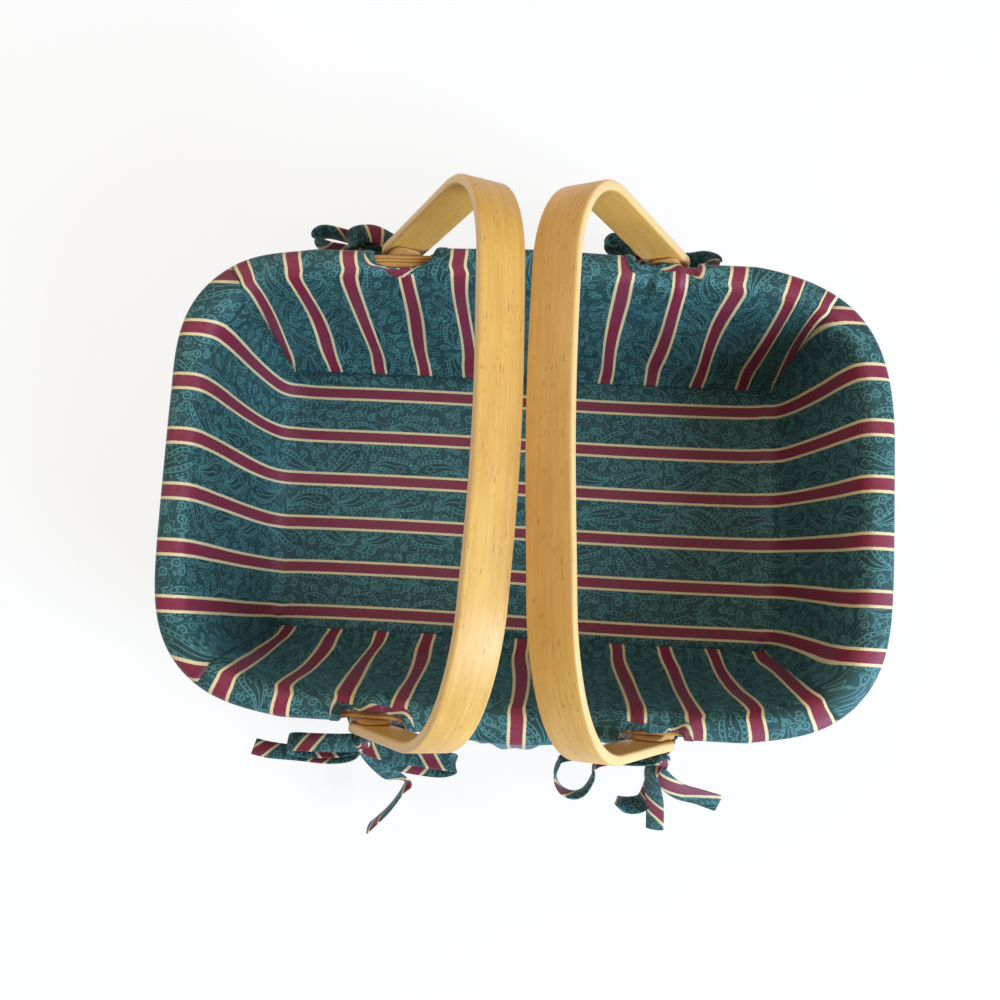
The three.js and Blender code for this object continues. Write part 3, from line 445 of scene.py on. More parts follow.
def wood(name, dark, light, pore, streak, pores=0.5, roughness=(0.5, 0.68), coat=0.0, edge=None):
    """Wood: two tones mixed by the grain, darker pores, a painted highlight on paler edges where a piece
    marks them, and a roughness that follows the grain. coat is its varnish."""
    made, tree, shader, flat = new_material(name, {"Coat Weight": coat, "Coat Roughness": 0.48})
    grain = use(tree, GRAIN, {"Strip": flat, "Streak width": streak, "Pores": pores})
    colour = blend(tree, grain["Tone"].rises(0.3, 0.7), paint(*dark), paint(*light))
    colour = blend(tree, grain["Pore"], colour, paint(*pore))
    # painted highlight: a paler colour on the edges that a piece marks
    if edge:
        colour = blend(tree, mark(tree, "edge") * (grain["Tone"] * 0.6 + 0.4), colour, paint(*edge))
    smooth, rough = roughness
    rough = grain["Tone"] * (smooth - rough) + rough + grain["Pore"] * 0.2
    dress(tree, shader, colour, rough, grain["Height"], 0.25, 0.0004)
    return made


def striped_cotton(name, turn=0.0):
    """Polished cotton: burgundy stripes edged with cream on a dark green ground with a paler paisley line
    print. It has painted shade in the creases and at the seams, and a painted highlight on top of the roll."""
    settings = {
        "Sheen Weight": 0.4,
        "Sheen Roughness": 0.35,
        "Sheen Tint": paint(60, 165, 205),
        "Specular IOR Level": 0.6,
        "Specular Tint": (0.55, 0.87, 1, 1),
    }
    made, tree, shader, flat = new_material(name, settings)
    cloth = node(tree, "ShaderNodeMapping", {"Vector": flat, "Rotation": (0, 0, turn)}).outputs[0]
    lines, stripes, weave = (use(tree, pattern, {"Cloth": cloth}) for pattern in (PAISLEY, STRIPES, WEAVE))
    ground = blend(tree, lines["Ground"], paint(23, 47, 48), paint(33, 62, 63))
    green = blend(tree, lines["Line"], ground, paint(74, 120, 121))
    burgundy = blend(tree, weave["Height"].rises(0.3, 0.8), paint(116, 16, 42), paint(134, 24, 56))
    colour = blend(tree, stripes["Stripe"], green, burgundy)
    colour = blend(tree, stripes["Edge line"], colour, paint(214, 192, 148))
    colour = blend(tree, weave["Fade"].rises(0.3, 0.8) * 0.12, colour, paint(70, 96, 96))
    bright = node(tree, "ShaderNodeVectorMath", {0: colour, "Scale": 1.28}, operation="SCALE").outputs[0]
    # painted highlight: the colour made brighter on top of the roll, where a panel marks it
    colour = blend(tree, mark(tree, "roll_highlight"), colour, bright)
    # painted shade: the colour darkened where a panel marks its creases, along the seams and at the foot of
    # the wall
    colour = blend(tree, mark(tree, "crease_shade") * 0.35, colour, paint(14, 20, 20))
    rough = 0.42 + weave["Fade"] * 0.2 + weave["Height"] * 0.06
    dress(tree, shader, colour, rough, weave["Height"], 0.3, 0.0003)
    return made


def rivet_brass():
    """Brass with fine turning scratches and tarnish that gathers in clouds."""
    made, tree, shader, flat = new_material("rivet brass", {"Metallic": 1.0})
    x, y = split(tree, flat)
    scratch = noise(tree, join(tree, x * 12000, y * 600), 1.0, 2.0)
    tarnish = noise(tree, flat, 420.0, 3.0).rises(0.4, 0.75)
    colour = blend(tree, tarnish, paint(205, 165, 95), paint(128, 92, 50))
    dress(tree, shader, colour, scratch * 0.15 + tarnish * 0.25 + 0.22, scratch, 0.15, 0.0002)
    return made


SPLINT_WOOD = wood("splint wood", (146, 98, 48), (196, 148, 84), (96, 58, 26), 2.0)
WEAVER_WOOD = wood("weaver wood", (156, 108, 56), (206, 160, 96), (104, 64, 30), 1.8)
RIM_WOOD = wood("rim wood", (158, 106, 50), (204, 152, 84), (98, 58, 26), 2.2, 0.6, (0.42, 0.6), 0.08)
EAR_WOOD = wood("ear wood", (168, 116, 58), (206, 156, 90), (104, 62, 28), 2.6, 0.5, (0.42, 0.6), 0.05)
HANDLE_WOOD = wood(
    "handle wood", (202, 146, 61), (224, 174, 90), (128, 82, 36), 2.4, 0.7, (0.44, 0.57), 0.3, (224, 190, 134)
)
LINER_COTTON = striped_cotton("liner cotton")
TIE_COTTON = striped_cotton("tie cotton", np.radians(52))
RIVET_BRASS = rivet_brass()

# Woven body

EDGE_MARGIN = 0.8
SIDE_REACH = SIDE_MIDDLE * SIDE_PITCH + SPLINT_WIDTH / 2 + EDGE_MARGIN
END_REACH = END_MIDDLE * END_PITCH + SPLINT_WIDTH / 2 + EDGE_MARGIN


def soft_wave(phase):
    """A cosine with flattened tops: in and out with level crossings."""
    return np.tanh(2.5 * np.cos(np.pi * phase)) / np.tanh(2.5)


def up_the_wall(height):
    """Share of the wall below a height."""
    return (height - FLOOR_MIDDLE) / WALL_RISE


def turned_up(wall, foot):
    """Rows up one wall from the turn at the floor's edge: a curve with two equal tangents, then the straight
    wall. wall gives how far out it stands at a height."""
    share = np.linspace(0, 1, 8)[:-1, None]
    top = FLOOR_MIDDLE + TURN_LENGTH
    first, second, third = (1 - share) ** 2, 2 * share * (1 - share), share**2
    curve = first * (foot - TURN_LENGTH) + second * foot + third * wall(np.array([[top]]))
    rise = (first + second) * FLOOR_MIDDLE + third * top
    straight = np.linspace(top, SPLINT_TOP, 26)[:, None]
    return np.concatenate([curve, wall(straight)]), np.concatenate([rise, straight])


def splint(number, across_basket):
    """A flat strip up one wall, over the floor and up the other. Those across the basket dip under and over
    the long ones."""
    pitch, half, spread = (SIDE_PITCH, BASE_Y, 1.0) if across_basket else (END_PITCH, BASE_X, END_FAN)
    place = ACROSS * SPLINT_WIDTH / 2 + number * pitch
    top = rim_depth(place) if across_basket else rim_reach(place * spread)
    out, up = turned_up(lambda height: mix(half, top[None], up_the_wall(height)), half)
    up = np.broadcast_to(up, out.shape)
    run = np.linspace(TURN_LENGTH - half, half - TURN_LENGTH, 121)[1:-1, None] * np.ones_like(place)
    level = np.full_like(run, FLOOR_MIDDLE)
    if across_basket:
        passed = run / END_PITCH
        held = 1 - ease(np.abs(passed), 3.42, 3.62)
        level = level - FLOOR_WAVE * soft_wave(passed + number) * held
    path = np.concatenate([-out[::-1], run, out])
    height = np.concatenate([up[::-1], level, up])
    sideways = place * mix(1, spread, np.clip(up_the_wall(height), 0, 1))
    middle = np.stack([sideways, path, height] if across_basket else [path, sideways, height], -1)
    flat = grid_of(place + 60 * number, length_along(middle))
    return slat(middle, facing(middle), SPLINT_THICKNESS / 2, flat)


def round_the_wall():
    """Stations once round the wall: the floor's outline, the rim's outline, and the count of uprights passed,
    from the first one of the front side."""
    side = np.linspace(-SIDE_REACH, SIDE_REACH, 133)
    end = np.linspace(-END_REACH, END_REACH, 85)
    turn = np.linspace(0, 1, 16)[1:-1]
    low = np.arctan2(rim_depth(SIDE_REACH) / RIM_Y, SIDE_REACH / RIM_X)
    high = np.arctan2(END_REACH * END_FAN / RIM_Y, rim_reach(END_REACH * END_FAN) / RIM_X)
    angle, quarter = mix(low, high, turn), turn * np.pi / 2
    cosine, sine = np.cos(angle), np.sin(angle)
    reach = (cosine**RIM_SQUARENESS + sine**RIM_SQUARENESS) ** (-1 / RIM_SQUARENESS)
    corner_base = grid_of(mix(SIDE_REACH, BASE_X, np.sin(quarter)), mix(END_REACH, BASE_Y, np.cos(quarter)))
    corner_rim = grid_of(RIM_X * reach * cosine, RIM_Y * reach * sine)
    side_base, side_rim = grid_of(side, BASE_Y), grid_of(side, rim_depth(side))
    end_base, end_rim = grid_of(BASE_X, end), grid_of(rim_reach(end * END_FAN), end * END_FAN)
    unknown = np.full(len(turn), np.nan)
    from_side, from_end = SIDE_MIDDLE + side / SIDE_PITCH, SIDE_STAKES + END_MIDDLE + end / END_PITCH
    half_way = SIDE_STAKES + END_STAKES
    parts = [
        (side_base, side_rim, (1, -1), 1, from_side),
        (corner_base, corner_rim, (1, -1), 1, unknown),
        (end_base, end_rim, (1, 1), 1, from_end),
        (corner_base, corner_rim, (1, 1), -1, unknown),
        (side_base, side_rim, (-1, 1), 1, half_way + from_side),
        (corner_base, corner_rim, (-1, 1), 1, unknown),
        (end_base, end_rim, (-1, -1), 1, half_way + from_end),
        (corner_base, corner_rim, (-1, -1), -1, unknown),
    ]
    base = np.concatenate([base[::step] * signs for base, _, signs, step, _ in parts])
    rim = np.concatenate([rim[::step] * signs for _, rim, signs, step, _ in parts])
    count = np.concatenate([part[-1] for part in parts])
    known, order = ~np.isnan(count), np.arange(len(count))
    full_turn = np.append(count[known], 2 * half_way + count[0])
    return base, rim, np.interp(order, np.append(order[known], len(count)), full_turn)


WALL_BASE, WALL_RIM, WALL_COUNT = round_the_wall()


def wall_round(heights):
    """Plan of the wall's middle all the way round at some heights, and the level outward direction there."""
    share = np.broadcast_to(up_the_wall(heights), (len(WALL_BASE), np.size(heights)))
    plan = mix(WALL_BASE[:, None], WALL_RIM[:, None], share[..., None])
    along = np.roll(plan, -1, 0) - np.roll(plan, 1, 0)
    return plan, unit(grid_of(along[..., 1], -along[..., 0]))


def weaver(row):
    """A strip round the wall that stands outside and inside the uprights by turns, by a flattened cosine of
    their count."""
    high = BAND_LOW - (ROW_GAP + row * (WEAVER_WIDTH + ROW_GAP)) * WALL_LEAN
    half = WEAVER_WIDTH / 2 * WALL_LEAN
    heights = high - half + ACROSS * half
    plan, out = wall_round(heights)
    lean = np.sum((WALL_RIM - WALL_BASE)[:, None] * out, -1) / WALL_RISE
    normal = unit(np.concatenate([out, -lean[..., None]], -1))
    middle = grid_of(plan[..., 0], plan[..., 1], heights)
    middle = closed(middle + normal * (WEAVER_OFFSET * soft_wave(WALL_COUNT + row))[:, None, None])
    flat = grid_of(ACROSS * WEAVER_WIDTH / 2 + 40 * row, length_along(middle))
    return slat(middle, closed(normal), WEAVER_THICKNESS / 2, flat, ring=True)


def rim_band(low, inner, outer, radius, offset):
    """A bar with eased edges carried round the rim. Its outline is in distance off the wall and height."""
    high = BASKET_HEIGHT
    loop = eased_bar((outer - inner) / 2, (high - low) / 2, radius) + [(outer + inner) / 2, (high + low) / 2]
    plan, out = wall_round(loop[:, 1])
    plan = plan + out * loop[None, :, :1]
    points = closed(grid_of(plan[..., 0], plan[..., 1], loop[:, 1]))
    return [surface(points, grid_of(length_along(loop) + offset, length_along(points)))]


for k in range(SIDE_STAKES):
    strip = splint(k - SIDE_MIDDLE, True)
    piece(f"cross_splint_{k + 1}_strip", strip, SPLINT_WOOD, [f"cross_splint_{k + 1}"])
for k in range(END_STAKES):
    strip = splint(k - END_MIDDLE, False)
    piece(f"long_splint_{k + 1}_strip", strip, SPLINT_WOOD, [f"long_splint_{k + 1}"])
for k in range(WEAVER_ROWS):
    piece(f"weaver_{k + 1}_strip", weaver(k), WEAVER_WOOD, [f"weaver_{k + 1}"])
outer_band = rim_band(BAND_LOW, BAND_INNER, BAND_OUTER, 0.9, 0)
inner_band = rim_band(BAND_LOW, -BAND_OUTER, -BAND_INNER, 0.9, 90)
filler = rim_band(BASKET_HEIGHT - 4.0, -SPLINT_THICKNESS / 2, SPLINT_THICKNESS / 2, 0.5, 180)
piece("outer_rim", outer_band, RIM_WOOD, ["outer_rim_band"])
piece("inner_rim", inner_band, RIM_WOOD, ["inner_rim_band"])
piece("rim_filler", filler, RIM_WOOD, ["rim_filler_strip"])

# Handles, ears and rivets


def limb(end, radius):
    """One half of a handle's hoop in its plane, from the tip of its leg to the middle of its top: a straight
    leg, a quarter bend and half the straight top, with the outward normal, and the share of the width at each
    row."""
    leg_y = (HANDLE_INNER_Y + HANDLE_OUTER_Y) / 2
    bend, straight = radius - HANDLE_THICKNESS / 2, HANDLE_RISE - radius
    tip, turn = np.linspace(0, np.pi / 2, 14)[:-1], np.linspace(0, np.pi / 2, 30)
    rise = np.concatenate([-HANDLE_WIDTH / 2 * np.cos(tip), np.linspace(0, straight, 36)[:-1]])
    leg = grid_of(leg_y, rise)
    round_turn = grid_of(np.cos(turn), np.sin(turn))
    arc = [leg_y - bend, straight] + bend * round_turn
    top = grid_of(np.linspace(leg_y - bend, 0, 40)[1:], straight + bend)
    normal = np.concatenate([leg * 0 + [1, 0], round_turn, top * 0 + [0, 1]])
    narrow = np.concatenate([np.sin(tip), np.ones(len(normal) - len(tip))])
    return np.concatenate([leg, arc, top]) * [end, 1], normal * [end, 1], narrow


def leaned(across, up):
    """Distance towards the end of the basket and height, for a place in the plane of a handle that leans
    about its pivot."""
    cosine, sine = np.cos(HANDLE_LEAN), np.sin(HANDLE_LEAN)
    return across * cosine - up * sine + PIVOT_X, across * sine + up * cosine + PIVOT_Z


def handle(side, wind, bow):
    """An eased bar carried round a hoop. The hoop leans about the pivot towards the middle of the basket. Its
    front corner stands out sideways by its wind, in proportion to the height and to the way forward, and its
    top bows on a smooth curve through a few places."""
    back, front = limb(1, BACK_BEND), limb(-1, FRONT_BEND)
    way, normal, narrow = (np.concatenate([b, f[-2::-1]]) for b, f in zip(back, front))
    section = eased_bar(HANDLE_WIDTH / 2, HANDLE_THICKNESS / 2, HANDLE_EDGE, 6)
    plan = way[:, None] + normal[:, None] * section[None, :, 1:]
    up = np.maximum(plan[..., 1] - HANDLE_WIDTH, 0) / (HANDLE_RISE - HANDLE_WIDTH)
    forward = (HANDLE_OUTER_Y - plan[..., 0]) / (2 * HANDLE_OUTER_Y)
    bowed = np.polyval(np.polyfit(BOW_AT, bow, 4), forward)
    x, z = leaned(narrow[:, None] * section[None, :, 0] + (wind * forward + bowed) * up, plan[..., 1])
    flat = grid_of(length_along(section)[None] + 150 * side, length_along(way)[:, None])
    # painted highlight: marks the outer 1.6 mm of the width, round the edges, to be paler
    edge = ease(np.abs(section[:, 0]), HANDLE_WIDTH / 2 - 1.6, HANDLE_WIDTH / 2)
    return [surface(grid_of(side * x, plan[..., 0], z), flat)], {"edge": np.broadcast_to(edge, x.shape)}


def wall_face(x, z):
    """How far out the wall's middle stands on a long side."""
    return mix(BASE_Y, rim_depth(x), up_the_wall(z))


# Rings of an ear: the share of its outline that each has, and how far it lies from the rim to the handle
EAR_RINGS = np.array([
    [0, 0], [0.5, 0], [0.9, 0], [0.98, 0.04], [1, 0.2], [1, 0.75], [0.965, 0.95], [0.9, 1], [0.5, 1], [0, 1],
])


def ear(right, front):
    """A bar with rounded corners between the leaning rim and the upright handle, in line with the leg at
    rest: rings grow over its inner face, cross its edge with eased corners, and close over its outer face."""
    outline = eased_bar(EAR_WIDTH / 2, (EAR_RISE + EAR_DROP) / 2, EAR_CORNER, 8)
    bar = (outline + [0, (EAR_RISE - EAR_DROP) / 2]) * EAR_RINGS[:, :1, None]
    across = EAR_RINGS[:, 1:]
    x, z = leaned(bar[..., 0], bar[..., 1])
    depth = mix(wall_face(x, z) + BAND_OUTER + SEAT, EAR_FACE_Y, across)
    flat = grid_of(bar[..., 0] + 40 * right + 15 * across, bar[..., 1] + 70 * front)
    return [surface(grid_of(right * x, front * depth, z), flat)]


def rivet(right, front):
    """A turned pin along Y: a domed head outside the handle, a shank, and a clinched end on the inner band.
    Its outline is in radius and distance from the middle of the basket."""
    face = HANDLE_OUTER_Y + SEAT
    inside = wall_face(PIVOT_X, PIVOT_Z) - BAND_OUTER - SEAT
    clinch = [[0, inside - 2.0], [2.6, inside - 2.0], [3.6, inside - 1.2], [3.8, inside - 0.4]]
    shank = [[2.5, inside + 1], [2.5, face], [5.8, face]]
    rise = np.linspace(0, np.pi / 2, 9)
    dome = grid_of(HEAD_RADIUS * np.cos(rise), face + HEAD_EDGE + HEAD_RISE * np.sin(rise))
    outline = np.concatenate([clinch, shank, dome])
    turn = np.linspace(0, 2 * np.pi, 33)
    x, z = outline[:, :1] * np.cos(turn), outline[:, :1] * np.sin(turn)
    points = grid_of(right * (PIVOT_X + x), front * outline[:, 1:], PIVOT_Z + z)
    return [surface(points, grid_of(x + 20 * right, z + 20 * front))]


for name, side in (("left", -1), ("right", 1)):
    hoop, marks = handle(side, HANDLE_WIND[name], HANDLE_BOW[name])
    body = f"{name}_handle"
    piece(f"{name}_swing_handle", hoop, HANDLE_WOOD, [body], body=body, marks=marks)
for name, (right, front) in QUARTERS.items():
    piece(f"ear_{name}", ear(right, front), EAR_WOOD, [f"handle_ear_{name}"])
    piece(f"rivet_{name}", rivet(right, front), RIVET_BRASS, [f"handle_rivet_{name}"])

# Cloth liner

# The edges of a notch: how far over the rim, and how far from the middle of the side its two edges are there
NOTCH_WAY = [0, 0.9, 1.1, 1.14, 1.2, 1.3, 1.5, 2, 2.11, 2.25, 2.33, 2.42, 2.5, 2.6, 3]
NOTCH_INNER = [81, 81, 81, 78.5, 76, 72.5, 67, 63.5, 66.5, 72, 77, 83.5, 91, 96, 95]
NOTCH_OUTER = [96, 96, 96, 99.5, 102, 104, 105.5, 107.5, 108.5, 109.5, 110, 109, 106, 99.2, 100.2]
NOTCH_FROM, NOTCH_TO = 66.0, 108.0  # the columns that follow those edges
NOTCH_FLOOR, NOTCH_SAG = 1.1, 0.02
# How far the cloth is drawn out over the rim beside a notch, and at the foot of each one, which bares three
# strips, one or none
TUCK = 5.2
NOTCH_TUCK = {(-1, 1): 5.2, (-1, -1): 10.9, (1, -1): 13.4, (1, 1): 16.3}
SIDE_BULGE = 6.0
SIDE_BELLY = {-1: 5.0, 1: 1.5}  # more of it between the ears, at the front and the back
END_BULGE = {-1: 6.0, 1: 7.4}  # of the roll at the left and right ends, and what the corners add
CORNER_BULGE = {(-1, -1): 1.5, (-1, 1): 4.0, (1, -1): 1.0, (1, 1): -2.0}
SIDE_FLARE_OUT, END_FLARE_OUT = 9.0, 2.5  # how far the hem stands out past the roll
# Where the stripes lie: the place of one of them and their pitch on the floor's edge, at the front and the
# back and on the long panel, and how far the long panel's are drawn towards the back and spread apart at the
# rim of each end
SIDE_STRIPES = {-1: (3.5, 34.7), 1: (-12.2, 34.3)}
LONG_STRIPES = (13.7, 33.2)
END_PULL, END_SPREAD = {-1: 7.5, 1: -2.3}, 0.09
# How far the print is drawn in from the seams of the side panels, at the floor and at the rim, and out to the
# front seam on the ends of the long panel
SEAM_DRAW = 22.0  # over this width
SIDE_DRAW = {(-1, 1): (-2, 8), (1, 1): (8, 17), (-1, -1): (0, 0), (1, -1): (0, 0)}
END_DRAW = {-1: 5, 1: 8}


def squared(wave):
    """A wave with squarer shoulders."""
    return np.sign(wave) * np.abs(wave) ** 0.75


def over_the_rim(base, rim, way, reach, flare, fold):
    """The liner's run at each place: up the inside on a curve with one knee (way 0 to 1), over the rim on a
    squared half turn (1 to 2), and down the flap (2 to 3), which stands out by flare and falls back by fold
    to its hem."""
    out = rim_outward(rim)
    up, turn, down = (np.clip(way - start, 0, 1)[..., None] for start in range(3))
    first, second, third = (1 - up) ** 2, 2 * up * (1 - up), up**2
    inner = rim - out * ROLL_INNER
    wall = first * base + second * mix(base, inner, 0.35) + third * inner
    wall_z = first * LINER_FLOOR + second * mix(LINER_FLOOR, ROLL_LOW, 0.15) + third * ROLL_LOW
    outer = BAND_OUTER + reach[..., None] - 0.6
    roll = mix(-ROLL_INNER, outer, 0.5 - 0.5 * squared(np.cos(np.pi * turn)))
    roll = roll + (flare - fold)[..., None] * down
    roll_z = ROLL_LOW + ROLL_RISE * squared(np.sin(np.pi * turn)) - (ROLL_LOW - HEM_Z) * down
    inside = way[..., None] <= 1
    return np.concatenate([np.where(inside, wall, rim + out * roll), np.where(inside, wall_z, roll_z)], -1)


def painted_roll_highlight(way):
    """Where a highlight is painted on the cloth, on top of the roll."""
    return ease(way, 0.75, 1.15) * (1 - ease(way, 1.5, 2.0))


def smoothed(points, times):
    """Each inner row moved towards its neighbours, a few times, to round off the creases between curves."""
    for _ in range(times):
        points = np.concatenate([points[:1], (points[:-2] + 2 * points[1:-1] + points[2:]) / 4, points[-1:]])
    return points


def rolled(points, way, along, keep=1.0):
    """The same points with a softer turn from the wall into the roll, where keep is one, and softest along
    the rim."""
    soft = ease(way, 0.7, 0.9) * (1 - ease(way, 1.2, 1.45)) * keep
    softer = ease(way, 0.55, 0.8) * (1 - ease(way, 1.3, 1.6)) * keep
    points = mix(points, smoothed(points, 30), soft[..., None])
    points[..., along] = mix(points[..., along], smoothed(points[..., along], 110), softer)
    return points


def ruffle(place, seed):
    """Folds of the flap: nought to one, at an uneven pitch of about 20 mm."""
    uneven = 0.3 * np.sin(place / 37 + seed) + 0.2 * np.sin(place / 14.3 + 2 * seed)
    return 0.5 - 0.5 * np.cos(2 * np.pi * (place / 20.5 + uneven))


def slack(place, way, seed):
    """Soft creases of the wall that lean across it, in millimetres off it; none at the floor and the roll."""
    leaning = ((58, 0.55, 1.0), (33, -0.8, 2.3), (21, 0.4, 3.1))
    first, second, third = (
        0.5 + 0.5 * np.sin(2 * np.pi * (place / pitch + lean * way + shift * seed))
        for pitch, lean, shift in leaning
    )
    window = ease(way, 0.05, 0.35) * (1 - ease(way, 0.7, 0.97))
    return window * (1.9 * first + 1.1 * second * first + 0.6 * third)


WALL_ROWS, ROLL_ROWS, FLAP_ROWS = 50, 24, 37
WAY_ROWS = np.concatenate([
    np.linspace(0, NOTCH_FLOOR, WALL_ROWS),
    np.linspace(NOTCH_FLOOR, 2, ROLL_ROWS)[1:],
    np.linspace(2, 3, FLAP_ROWS)[1:],
])


def notch_edges(way):
    return np.interp(way, NOTCH_WAY, NOTCH_INNER), np.interp(way, NOTCH_WAY, NOTCH_OUTER)


def tuck(front, x, way):
    """How far the cloth is drawn out over the rim at the notches, full at the foot of a notch and less beside
    it, and how much it is lifted first to pass over the inner band."""
    inner, outer = notch_edges(way)
    beside = np.maximum(inner - np.abs(x), np.abs(x) - outer)
    full = np.where(x < 0, NOTCH_TUCK[-1, front], NOTCH_TUCK[1, front])
    out = mix(TUCK * (1 - ease(beside, 0, 12)), full, ease(-beside, -6, 4))
    leave = 1 - ease(way, 1.15, 1.7)
    return out * ease(way, 0.95, 1.1) * leave, ease(out, 5.5, 10) * ease(way, 0.86, 1.0) * leave


def side_place(front, x, way):
    """A side panel's point at a place along the rim and a way over it."""
    share, far = x / REACH_X, np.abs(x)
    rim = grid_of(x, front * rim_depth(x))
    base = grid_of(share * LINER_X, front * LINER_Y)
    room = HANDLE_INNER_Y - 1.4 - BAND_OUTER - np.abs(rim[..., 1])
    left, right = (END_BULGE[end] + CORNER_BULGE[end, front] for end in (-1, 1))
    wing = mix(SIDE_BULGE, np.where(x < 0, left, right), ease(far, REACH_X - 45, REACH_X))
    between = np.clip(far / NOTCH_FROM, 0, 1)
    belly = np.cos(between * np.pi / 2) ** 2
    reach = np.where(far > PIVOT_X, np.minimum(wing, room), SIDE_BULGE) + SIDE_BELLY[front] * belly
    plain = ease(np.abs(far - 87), 26, 44) * (1 - np.abs(share) ** 10)
    fold = ruffle(x, 1.7 + front) * mix(1.5, 5.0, between) * plain - 0.8 * (1 - between)
    points = over_the_rim(base, rim, way, reach, SIDE_FLARE_OUT * belly, fold)
    out, lift = tuck(front, x, way)
    points[..., :2] += rim_outward(rim) * out[..., None]
    points[..., 2] = mix(points[..., 2], np.maximum(points[..., 2], BASKET_HEIGHT + 1.9), lift)
    return points


def notch_columns(nominal, way):
    """Places along the rim for columns that follow both edges of the two notches, which narrow to slits under
    the ears."""
    first, second = notch_edges(way)
    far = np.abs(nominal)
    middle = far * first / NOTCH_FROM
    notch = mix(first, second, (far - NOTCH_FROM) / (NOTCH_TO - NOTCH_FROM))
    wing = mix(second, REACH_X, (far - NOTCH_TO) / (REACH_X - NOTCH_TO))
    return np.sign(nominal) * np.where(far <= NOTCH_FROM, middle, np.where(far <= NOTCH_TO, notch, wing))


def notch_sag(far):
    """How much the foot of a notch hangs between its two edges, nought to one."""
    return np.sin(np.clip((far - NOTCH_FROM) / (NOTCH_TO - NOTCH_FROM), 0, 1) * np.pi) ** 0.7


def side_print(front, x, way):
    """Place across the stripes of a side panel, drawn in at its seams, with a slow wander up the wall."""
    place, pitch = SIDE_STRIPES[front]
    left, right = (mix(*SIDE_DRAW[end, front], ease(way, 0, 0.9)) for end in (-1, 1))
    flat = x / REACH_X * LINER_X
    drawn = np.where(x < 0, -left, right) * ease(np.abs(flat), LINER_X - SEAM_DRAW, LINER_X)
    wander = 1.3 * np.sin(2 * np.pi * (0.9 * way + x / 83 + front)) * ease(way, 0.05, 0.4)
    return (flat + drawn - place) * STRIPE_PITCH / pitch + wander * (1 - ease(way, 1.0, 1.5))


SIDE_GRIDS = {}


def side_panel(front):
    """A side panel: columns along the rim, rows over it, open at the two notches."""
    wing, notch = np.linspace(REACH_X, NOTCH_TO, 38), np.linspace(NOTCH_TO, NOTCH_FROM, 22)
    half = np.concatenate([wing, notch[1:], np.linspace(NOTCH_FROM, 0, 33)[1:]])
    nominal = np.concatenate([-half, half[-2::-1]])[None]
    way = np.broadcast_to(WAY_ROWS[:, None], (len(WAY_ROWS), nominal.shape[1]))
    x = notch_columns(nominal, way)
    far = np.abs(nominal)
    way = np.where(way <= NOTCH_FLOOR, way * (1 - NOTCH_SAG * notch_sag(far)), way)
    whole = ease(np.maximum(NOTCH_FROM - far, far - NOTCH_TO), 0, 14)
    grid = np.concatenate([side_place(front, x, way), x[..., None]], -1)
    grid = rolled(smoothed(grid, 3), way, 0, whole)
    points, x = grid[..., :3], grid[..., 3]
    normal = facing(points) * front
    seam = 1 - ease(REACH_X - np.abs(x), 0.0, 7.0)
    foot = 1 - ease(way, 0.0, 0.05)
    sunk = 1.7 * seam * (1 - ease(way, 0.8, 1.1)) + 0.5 * foot
    raised = slack(x, way, 0.37 + 0.21 * front) * (1 - seam) - sunk
    points = points + normal * raised[..., None]
    flat = grid_of(side_print(front, x, way), length_along(points) + 300 * front)
    between = (far[:, 1:] + far[:, :-1]) / 2
    gap = (between > NOTCH_FROM) & (between < NOTCH_TO)
    keep = ~(gap & (WAY_ROWS[:-1, None] >= NOTCH_FLOOR - 1e-6))
    # painted shade for the cloth's colour, along the seams below the roll and at the foot of the wall
    crease_shade = np.clip(np.maximum(seam * (1 - ease(way, 0.8, 1.0)), foot * 0.8), 0, 1)
    SIDE_GRIDS[front] = nominal[0], points, normal
    # the second mark is a painted highlight on top of the roll
    return [surface(points, flat, keep)], {"crease_shade": crease_shade, "roll_highlight": painted_roll_highlight(way)}


def end_wall(right, share, way):
    """One end of the long panel, from the floor over the rim, and its place across the stripes."""
    y = np.broadcast_to(share * REACH_Y, way.shape)
    rim = grid_of(right * rim_reach(y), y)
    base = np.broadcast_to(grid_of(right * LINER_X, share * LINER_Y), rim.shape)
    loose = END_BULGE[right]
    for front in (-1, 1):
        loose = loose + CORNER_BULGE[right, front] * ease(front * share, 0.35, 0.9)
    seam = 1 - np.abs(share) ** 10
    fold = ruffle(y, 4.1 + right) * seam * 5.0
    points = over_the_rim(base, rim, way, np.broadcast_to(loose, y.shape), seam * END_FLARE_OUT, fold)
    points = rolled(smoothed(points, 3), way, 1)
    height = np.clip((points[..., 2] - LINER_FLOOR) / (ROLL_LOW - LINER_FLOOR), 0, 1)
    height = np.where(way > 1, 1.0, mix(height, ease(height, 0, 1), 0.7))
    place, pitch = LONG_STRIPES
    drawn = END_DRAW[right] * ease(-y, REACH_Y - SEAM_DRAW, REACH_Y) * ease(way, 0.5, 0.95)
    flat = (points[..., 1] - END_PULL[right] * height) / (1 + END_SPREAD * height) + drawn
    edge = 1 - ease((1 - np.abs(share)) * REACH_Y, 0.0, 6.0)
    sunk = 1.7 * edge * ease(way, 0.0, 0.2) * (1 - ease(way, 0.8, 1.1))
    raised = slack(y, way, 0.13 + 0.3 * right) * (1 - edge) - sunk
    return points - right * facing(points) * raised[..., None], (flat - place) * STRIPE_PITCH / pitch


